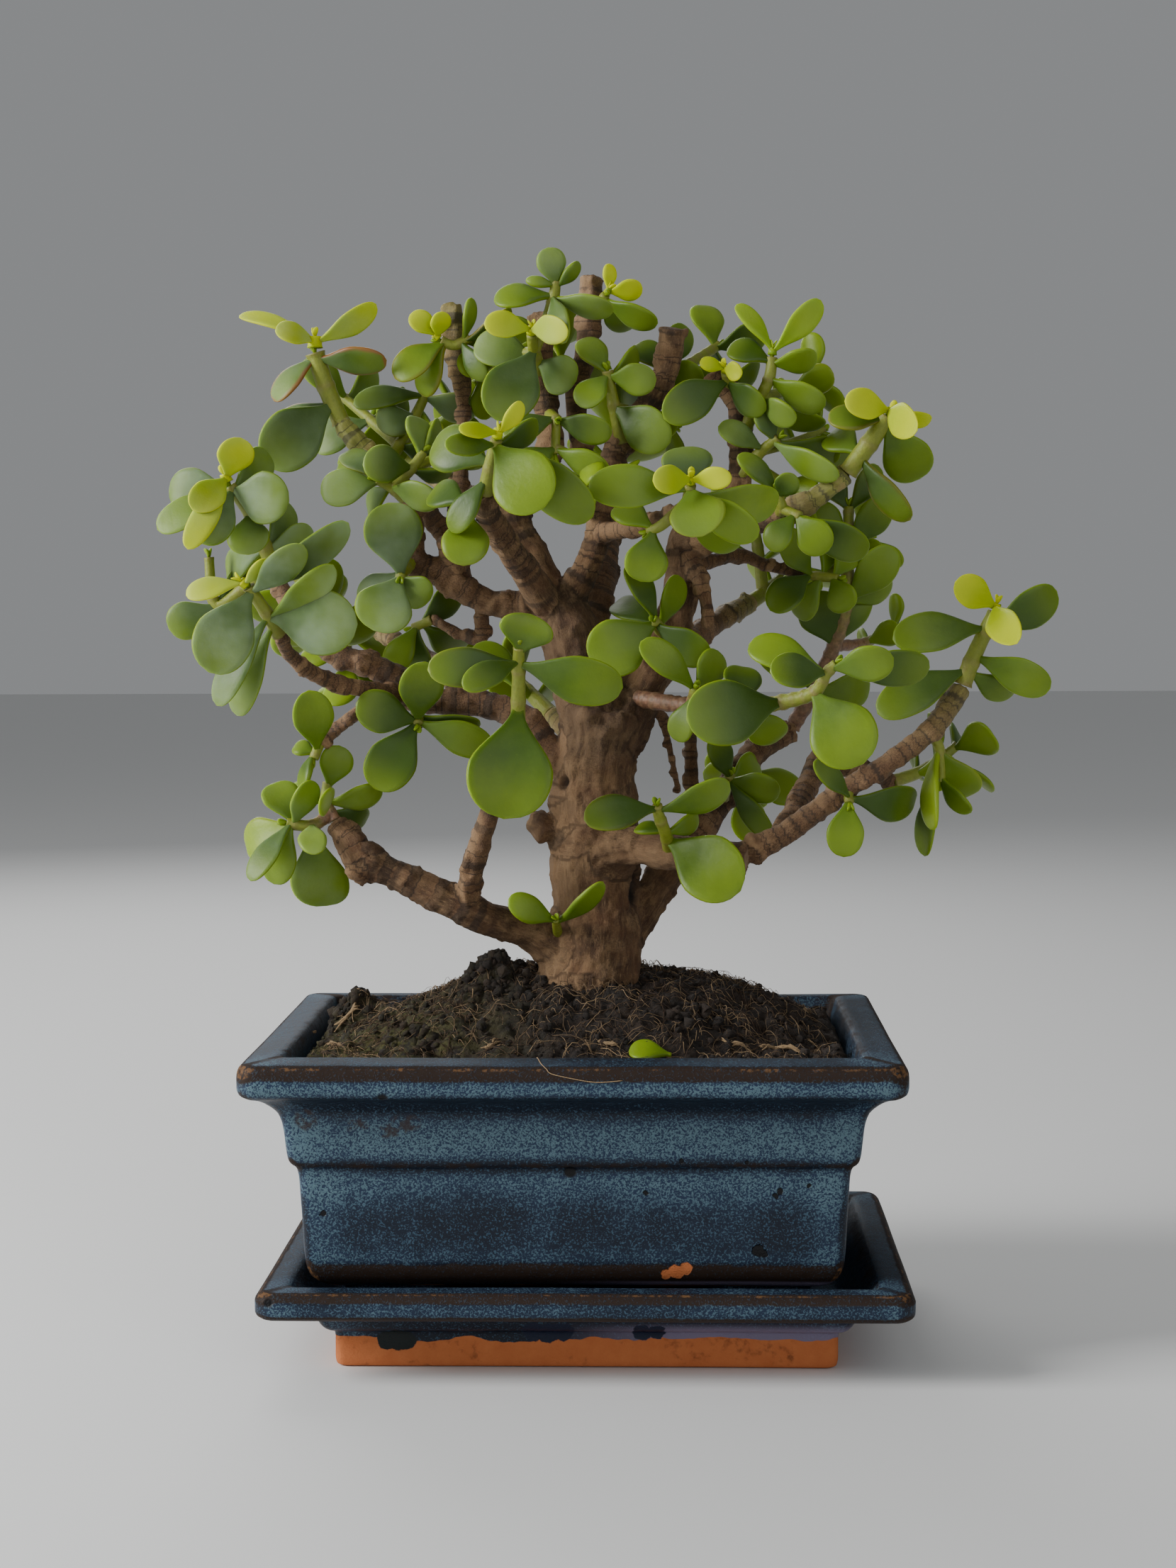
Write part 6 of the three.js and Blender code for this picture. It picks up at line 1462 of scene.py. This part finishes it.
def leaf_material(name, dark, mid, light, base, translucent, shine=0.26):
    """A fleshy leaf. The blade attribute holds how near the margin a point is, how far along
    and whether above, and the tint attribute the leaf's own chance (raised on the paler shoots, partly as
    painted backlight), redness, and its waxy bloom with painted sheen."""
    s = Shader(name)
    margin, along, above = s.attribute("blade")
    chance, red, bloom_and_sheen = s.attribute("tint")
    mottle = s.noise(210, 4, 0.6)
    fine = s.noise(1500, 3, 0.6, seed=3)
    share = chance * 0.75 + (mottle - 0.5) * 0.55
    colour = s.mix(s.step(0.05, 0.85, share), dark, mid)
    colour = s.mix(s.step(0.5, 1.0, along + chance * 0.3) * 0.35, colour, light)
    # leaves lifted past 1 by the paler shoots turn light: partly their own tone, partly painted backlight
    colour = s.mix(s.step(0.85, 1.25, share) * 0.8, colour, light)
    under = s.mix(0.35, colour, light)
    colour = s.mix(above, under, colour)
    rim = s.step(0.84, 1.0, margin + (mottle - 0.5) * 0.12)
    colour = s.mix(rim * 0.16, colour, light)
    red_rim = s.step(0.62, 1.0, margin + (mottle - 0.5) * 0.5) * red
    colour = s.mix(red_rim, colour, LEAF_RED)
    colour = s.mix(s.step(0.10, 0.0, along), colour, base)
    # waxy bloom together with a painted sheen: pale grey-green patches on the upper side, strongest on the
    # left shoots that face the key light
    bloom_and_sheen_mask = bloom_and_sheen * above * s.step(0.25, 0.8, s.noise(75, 3, 0.5, seed=6))
    colour = s.mix(bloom_and_sheen_mask * 0.6, colour, LEAF_BLOOM_AND_SHEEN)
    dots = s.step(0.7, 0.78, s.noise(2300, 1, 0.4, seed=9))
    colour = s.mix(dots * 0.12, colour, light)
    rough = 0.36 + mottle * 0.12 + bloom_and_sheen_mask * 0.2
    normal = s.bump(fine * 0.4 + s.noise(420, 3, 0.5, seed=5), 0.0002, 0.45)
    s.finish(Subsurface_Weight=translucent, Subsurface_Scale=0.0022, Subsurface_Radius=(0.8, 1.0, 0.12))
    return s.finish(Base_Color=colour, Roughness=rough, Normal=normal, Specular_IOR_Level=shine)


def stem_material():
    """A young stem: green at its tip, and reddish brown with pale scars where it is older."""
    s = Shader("young_stem")
    age, _, scar = s.attribute("blade")
    fine = s.noise(900, 5, 0.65)
    green = s.mix(fine, (0.13, 0.165, 0.010), (0.27, 0.30, 0.022))
    brown = s.mix(s.step(0.3, 0.7, fine), (0.10, 0.045, 0.025), (0.27, 0.145, 0.08))
    colour = s.mix(s.step(0.35, 0.75, age + (s.noise(330, 4) - 0.5) * 0.4), green, brown)
    colour = s.mix(scar * 0.6, colour, (0.2, 0.13, 0.06))
    normal = s.bump(fine, 0.0004, 0.7)
    s.finish(Subsurface_Weight=0.08, Subsurface_Scale=0.001)
    return s.finish(Base_Color=colour, Roughness=0.5, Normal=normal)


BLADE_FACETS = (20, 16)  # along a blade and round it
BUD_FACETS = (8, 8)


def form_at(share):
    """Half width and thickness of a blade along its length, as shares of the most."""
    broad = 0.14 + 0.86 * smoothstep(0.03, 0.62, share)
    broad *= math.sqrt(1 - max(0.0, (share - 0.6) / 0.4) ** 2.6)
    thick = 0.75 + 0.25 * smoothstep(0.0, 0.4, share)
    thick *= math.sqrt(1 - max(0.0, (share - 0.45) / 0.55) ** 3)
    return max(broad, 0.02), max(thick, 0.08)


def add_blade(builder, leaf, thickness, tint, draw, facets=BLADE_FACETS):
    """A fleshy obovate leaf with a soft rounded margin, a shallow dish and a slight fold."""
    base, tip, width, hint, turn = leaf
    count, sides = facets
    along = (tip - base).normalized()
    length = (tip - base).length
    across = along.cross(hint).normalized()
    face = across.cross(along).normalized()
    spin = Quaternion(along, math.radians(turn))
    across, face = spin @ across, spin @ face
    dish = 0.05 + 0.16 * draw()
    skew = 0.06 * (draw() - 0.5)
    droop = 0.10 * (draw() - 0.6)
    swell = 0.9 + 0.25 * draw()
    ripple = 6.28 * draw()
    rings = []
    for i in range(count + 1):
        share = 0.5 - 0.5 * math.cos(math.pi * i / count)
        share = 0.6 * share + 0.4 * i / count
        broad, thick = form_at(share)
        half = width / 2 * broad
        depth = thickness / 2 * thick * swell
        centre = base + along * (share * (length + SINK) - SINK)
        arch = LEAF_ARCH * length * 4 * share * (1 - share)
        centre += face * (arch + droop * length * share * share * (share - 1))
        centre += across * (skew * length * math.sin(math.pi * share))
        ring = []
        for j in range(sides):
            angle = 2 * math.pi * j / sides
            c, n = math.cos(angle), math.sin(angle)
            x = half * math.copysign(abs(c) ** 0.8, c)
            y = depth * math.copysign(abs(n) ** 0.85, n)
            bend = (x / max(half, 0.1)) ** 2
            y += dish * half * bend + 0.10 * math.sin(5 * share + ripple + 2.2 * c) * broad
            if n > 0:
                y -= 0.14 * thick * (1 - bend) * smoothstep(1.0, 0.2, share) * math.exp(-((x / 0.7) ** 2))
            blade = (max(abs(c), smoothstep(0.88, 1.0, share)), share, 1.0 if n > 0.05 else 0.0)
            ring.append(builder.point(centre + across * x + face * y, blade=blade, tint=tint))
        rings.append(ring)
    first = len(builder.faces)
    builder.loop_faces(rings)
    start = builder.point(base - along * SINK, blade=(0, 0, 1), tint=tint)
    end = builder.point(tip, blade=(1, 1, 1), tint=tint)
    builder.fan(rings[0], start, True)
    builder.fan(rings[-1], end)
    return first


def add_stem(builder, rows, age, sides=10):
    """A stem with slightly swollen nodes, greener towards its end."""
    points, radii, distances = sweep(rows, 0.6)
    total = distances[-1]
    spacing = 3.2 if age > 0.7 else max(total / max(len(rows) - 1, 1), 3.5)
    marks = ringed(radii, distances, spacing, 0.2)
    first = len(builder.faces)
    rings, _ = add_tube(builder, points, marks, sides)
    for ring, distance, radius, mark in zip(rings, distances, radii, marks):
        share = distance / total
        for index in ring:
            builder.values["blade"][index] = (age * (1 - share * 0.8), share, (mark / radius - 1) / 0.2)
    return first


def stations(shoot):
    """The places that a shoot's leaves grow from."""
    places = []
    for rows in (shoot["stem"], shoot.get("side", [])):
        for i, (x, z, y, _) in enumerate(rows):
            place = seen(x, z, y)
            if i == 0:
                nx, nz, ny, _ = rows[1]
                place = place.lerp(seen(nx, nz, ny), 0.5)
            elif i == len(rows) - 1:
                px, pz, py, _ = rows[i - 1]
                place += (seen(px, pz, py) - place).normalized() * NODE_SETBACK
            places.append(place)
    return places


def shown_leaf(base, x, z, y, width, turn):
    versions = []
    for shift, share in BENDS:
        tip = base + (seen(x, z, y + shift) - base) * share
        versions.append((base, tip, seen_size(width, y), EYE - (base + tip) * 0.5, turn))
    return versions


def rear_leaves(rows, pairs, lengths, draw):
    points = [seen(x, z, y) for x, z, y, _ in rows]
    leaves = []
    for pair in range(pairs):
        at = (pair + 1) / pairs * (len(points) - 1)
        index = min(int(at), len(points) - 2)
        along = (points[index + 1] - points[index]).normalized()
        base = points[index].lerp(points[index + 1], at - index)
        if pair == pairs - 1:
            base = base - along * NODE_SETBACK
        level = UP.cross(along).normalized()
        spin = pair * 90 + 40 * draw() - 20
        for opposite in (0, 180):
            length = lengths[0] + (lengths[1] - lengths[0]) * draw()
            versions = []
            for turn, share in TURNS:
                out = Quaternion(along, math.radians(spin + opposite + turn)) @ level
                way = (out + along * REAR_RISE).normalized()
                versions.append((base, base + way * length * share, length * REAR_WIDTH_SHARE, along, 0))
            leaves.append(versions)
    return leaves


def solid_leaves(node, leaves):
    """The version of each leaf that the solid has, and none for a leaf that it lacks."""
    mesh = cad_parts[node].data
    tree = search_tree([vertex.co / MM - STAND for vertex in mesh.vertices])
    kept = []
    for versions in leaves:
        gaps = [tree.find(version[1])[2] for version in versions]
        nearest = min(gaps)
        if nearest < TIP_MATCH:
            kept.append(versions[gaps.index(nearest)])
    return kept


def add_bud(builder, place, along, thickness, draw):
    """Two tiny folded leaves at a stem's end."""
    side = along.cross(UP if abs(along.z) < 0.9 else Vector((0, 1, 0))).normalized()
    side = Quaternion(along, 6.28 * draw()) @ side
    for sign in (1, -1):
        tip = place + along * 2.4 + side * sign * 0.9
        leaf = (place - along * 0.6, tip, 1.7, side * -sign, 0)
        add_blade(builder, leaf, thickness * 0.45, (0.9, 0, 0), draw, BUD_FACETS)


# Shoots that are browner at the stem, redder at the margin, frosted with waxy bloom and a painted sheen, and
# paler, partly by their own tone and partly as painted backlight.
STEM_AGE = {"frontRight": 1.0, "lowLeft": 0.8, "rightPost": 1.0, "rightEnd": 0.5, "behindStump": 0.8}
RED_SHOOTS = {"topLeft": 0.7, "leftPostFront": 0.25, "upperRightTip": 0.2}
# waxy bloom with painted sheen, strongest on the shoots at the left
BLOOM_AND_SHEEN_SHOOTS = {
  "topLeft": 0.8,
  "topLeftTuft": 0.7,
  "innerTuft": 0.5,
  "leftCloud": 1.0,
  "frontLeftCloud": 0.9,
  "leftNode": 0.7,
  "lowLeft": 0.35,
  "crownPair": 0.45,
  "midCrown": 0.35,
  "frontYellow": 0.25,
  "rightLong": 0.35,
  "limeSprig": 0.3,
}
# paler leaves, partly their own lime tone and partly painted backlight where light shines through
PALE_AND_BACKLIT_SHOOTS = {"lowLeft": 0.7, "edgeLeaves": 0.7, "baseSprout": 0.6, "frontYellow": 0.4, "limeSprig": 0.5}


def make_shoot(name, node, rows_list, leaves, thickness, materials, slot, draw, young=False):
    builder = Builder("blade", "tint")
    for rows in rows_list:
        add_stem(builder, rows, 0.0 if young else STEM_AGE.get(name, 0.45))
    stem_faces = len(builder.faces)
    for leaf in solid_leaves(node, leaves):
        red = RED_SHOOTS.get(name, 0.0) if draw() < 0.5 else 0.5 * max(0.0, draw() - 0.8)
        red *= 0 if young else 1
        bloom_and_sheen = BLOOM_AND_SHEEN_SHOOTS.get(name, 0.12) * (0.4 + 0.8 * draw())
        # the paler shoots add to the chance: partly their own tone, partly painted backlight
        chance = draw() + (PALE_AND_BACKLIT_SHOOTS.get(name, 0.0) if draw() < 0.6 else 0.0)
        add_blade(builder, leaf, thickness, (chance, red, bloom_and_sheen), draw)
    for rows in rows_list:
        (bx, bz, by, _), (ax, az, ay, _) = rows[-1], rows[-2]
        end, before = seen(bx, bz, by), seen(ax, az, ay)
        add_bud(builder, end, (end - before).normalized(), thickness, draw)
    piece = builder.piece(node + "_fleshy", materials)
    indices = [1] * stem_faces + [0] * (len(builder.faces) - stem_faces)
    piece.data.polygons.foreach_set("material_index", indices)
    place_piece(piece, slot, node)


def young_rows(stem, to):
    end = stem[-1]
    start = [a + (b - a) * 0.3 for a, b in zip(end, to)]
    start[3] = to[3]
    return [start, list(to)]


def make_leaves():
    green = leaf_material("green_leaf", *LEAF_GREENS, 0.4)
    young_green = leaf_material("young_leaf", *LEAF_YELLOWS, 0.3, 0.12)
    lime = leaf_material("lime_leaf", *LEAF_LIMES, 0.3)
    stem = stem_material()
    draw = seeded_random(LEAF_SEED)
    rule = seeded_random(RULE_SEED)
    for name, shoot in SHOOTS.items():
        places = stations(shoot)
        tufts = TUFTS.get(name, [])
        rows_list = [rows for rows in (shoot["stem"], shoot.get("side"), *tufts) if rows]
        leaves = [shown_leaf(places[at], *leaf) for at, *leaf in shoot["leaves"]]
        leaves += [leaf for rows in tufts for leaf in rear_leaves(rows, TUFT_PAIRS, TUFT_LENGTH, rule)]
        make_shoot(name, name + "_leaves", rows_list, leaves, LEAF_THICKNESS, [green, stem], "leaf", draw)
        if "young" not in shoot:
            continue
        rows = young_rows(shoot["stem"], shoot["young"]["to"])
        fork = seen(*rows[1][:3]).lerp(seen(*rows[0][:3]), 0.5)
        leaves = [shown_leaf(fork, *leaf) for leaf in shoot["young"]["leaves"]]
        skin = lime if name == "limeSprig" else young_green
        node = name + "_young"
        make_shoot(name, node, [rows], leaves, YOUNG_THICKNESS, [skin, skin], "young_leaf", draw, True)
    for name, shoot in REAR_SHOOTS.items():
        rows_list = [rows for rows in (shoot["stem"], shoot.get("side")) if rows]
        leaves = [leaf for rows in rows_list for leaf in rear_leaves(rows, REAR_PAIRS, REAR_LENGTH, rule)]
        make_shoot(name, name + "_leaves", rows_list, leaves, LEAF_THICKNESS, [green, stem], "leaf", draw)
    builder = Builder("blade", "tint")
    fallen = (Vector((22.8, -39.5, 74.3)), Vector((13.2, -38.6, 75.2)), 7.5, Vector((0, -0.6, 1)), 0)
    add_blade(builder, fallen, LEAF_THICKNESS, (0.95, 0.0, 0.0), draw)
    place_piece(builder.piece("fallen_leaf_fleshy", [green]), "leaf", "fallen_leaf")


# Floor, light and camera


FLOOR_REACH = 6  # metres, as are the lights' places and sizes
LIGHTS = [
    ("key", (-0.95, -0.32, 0.55), 0.42, 17), ("fill", (0.5, -1.0, 0.55), 0.9, 4),
    ("back", (-0.35, 0.9, 0.75), 0.7, 5),
]


def make_stage():
    mesh = bpy.data.meshes.new("floor")
    corners = [(x * FLOOR_REACH, y * FLOOR_REACH, 0) for x, y in ((-1, -1), (1, -1), (1, 1), (-1, 1))]
    mesh.from_pydata(corners, [], [(0, 1, 2, 3)])
    floor = bpy.data.objects.new("floor", mesh)
    bpy.context.collection.objects.link(floor)
    s = Shader("pale_floor")
    mesh.materials.append(s.finish(Base_Color=(0.72, 0.72, 0.71), Roughness=0.7))
    world = bpy.data.worlds.new("studio")
    bpy.context.scene.world = world
    world.use_nodes = True
    background = world.node_tree.nodes["Background"]
    background.inputs["Color"].default_value = (0.78, 0.80, 0.82, 1)
    background.inputs["Strength"].default_value = 0.32
    aim = Vector((0, 0, 0.15))
    for name, place, size, power in LIGHTS:
        light = bpy.data.lights.new(name, "AREA")
        light.size = size
        light.energy = power
        lamp = bpy.data.objects.new(name, light)
        lamp.location = place
        lamp.rotation_euler = (aim - Vector(place)).to_track_quat("-Z", "Y").to_euler()
        bpy.context.collection.objects.link(lamp)


def make_camera():
    data = bpy.data.cameras.new("camera")
    data.sensor_width = SENSOR
    data.lens = FOCAL_PX / max(PHOTO_SIZE) * SENSOR
    data.clip_start = 0.01
    camera = bpy.data.objects.new("camera", data)
    pitch = Matrix.Rotation(math.radians(90 + VIEW_PITCH), 4, "X")
    yaw = Matrix.Rotation(math.radians(VIEW_YAW), 4, "Z")
    roll = Matrix.Rotation(math.radians(VIEW_ROLL), 4, "Z")
    camera.matrix_world = Matrix.Translation((EYE + STAND) * MM) @ yaw @ pitch @ roll
    bpy.context.collection.objects.link(camera)
    bpy.context.scene.camera = camera


make_camera()
make_stage()
glaze = glaze_material()
make_saucer(glaze)
make_pot(glaze)
make_soil(soil_material())
make_wood(bark_material())
make_leaves()
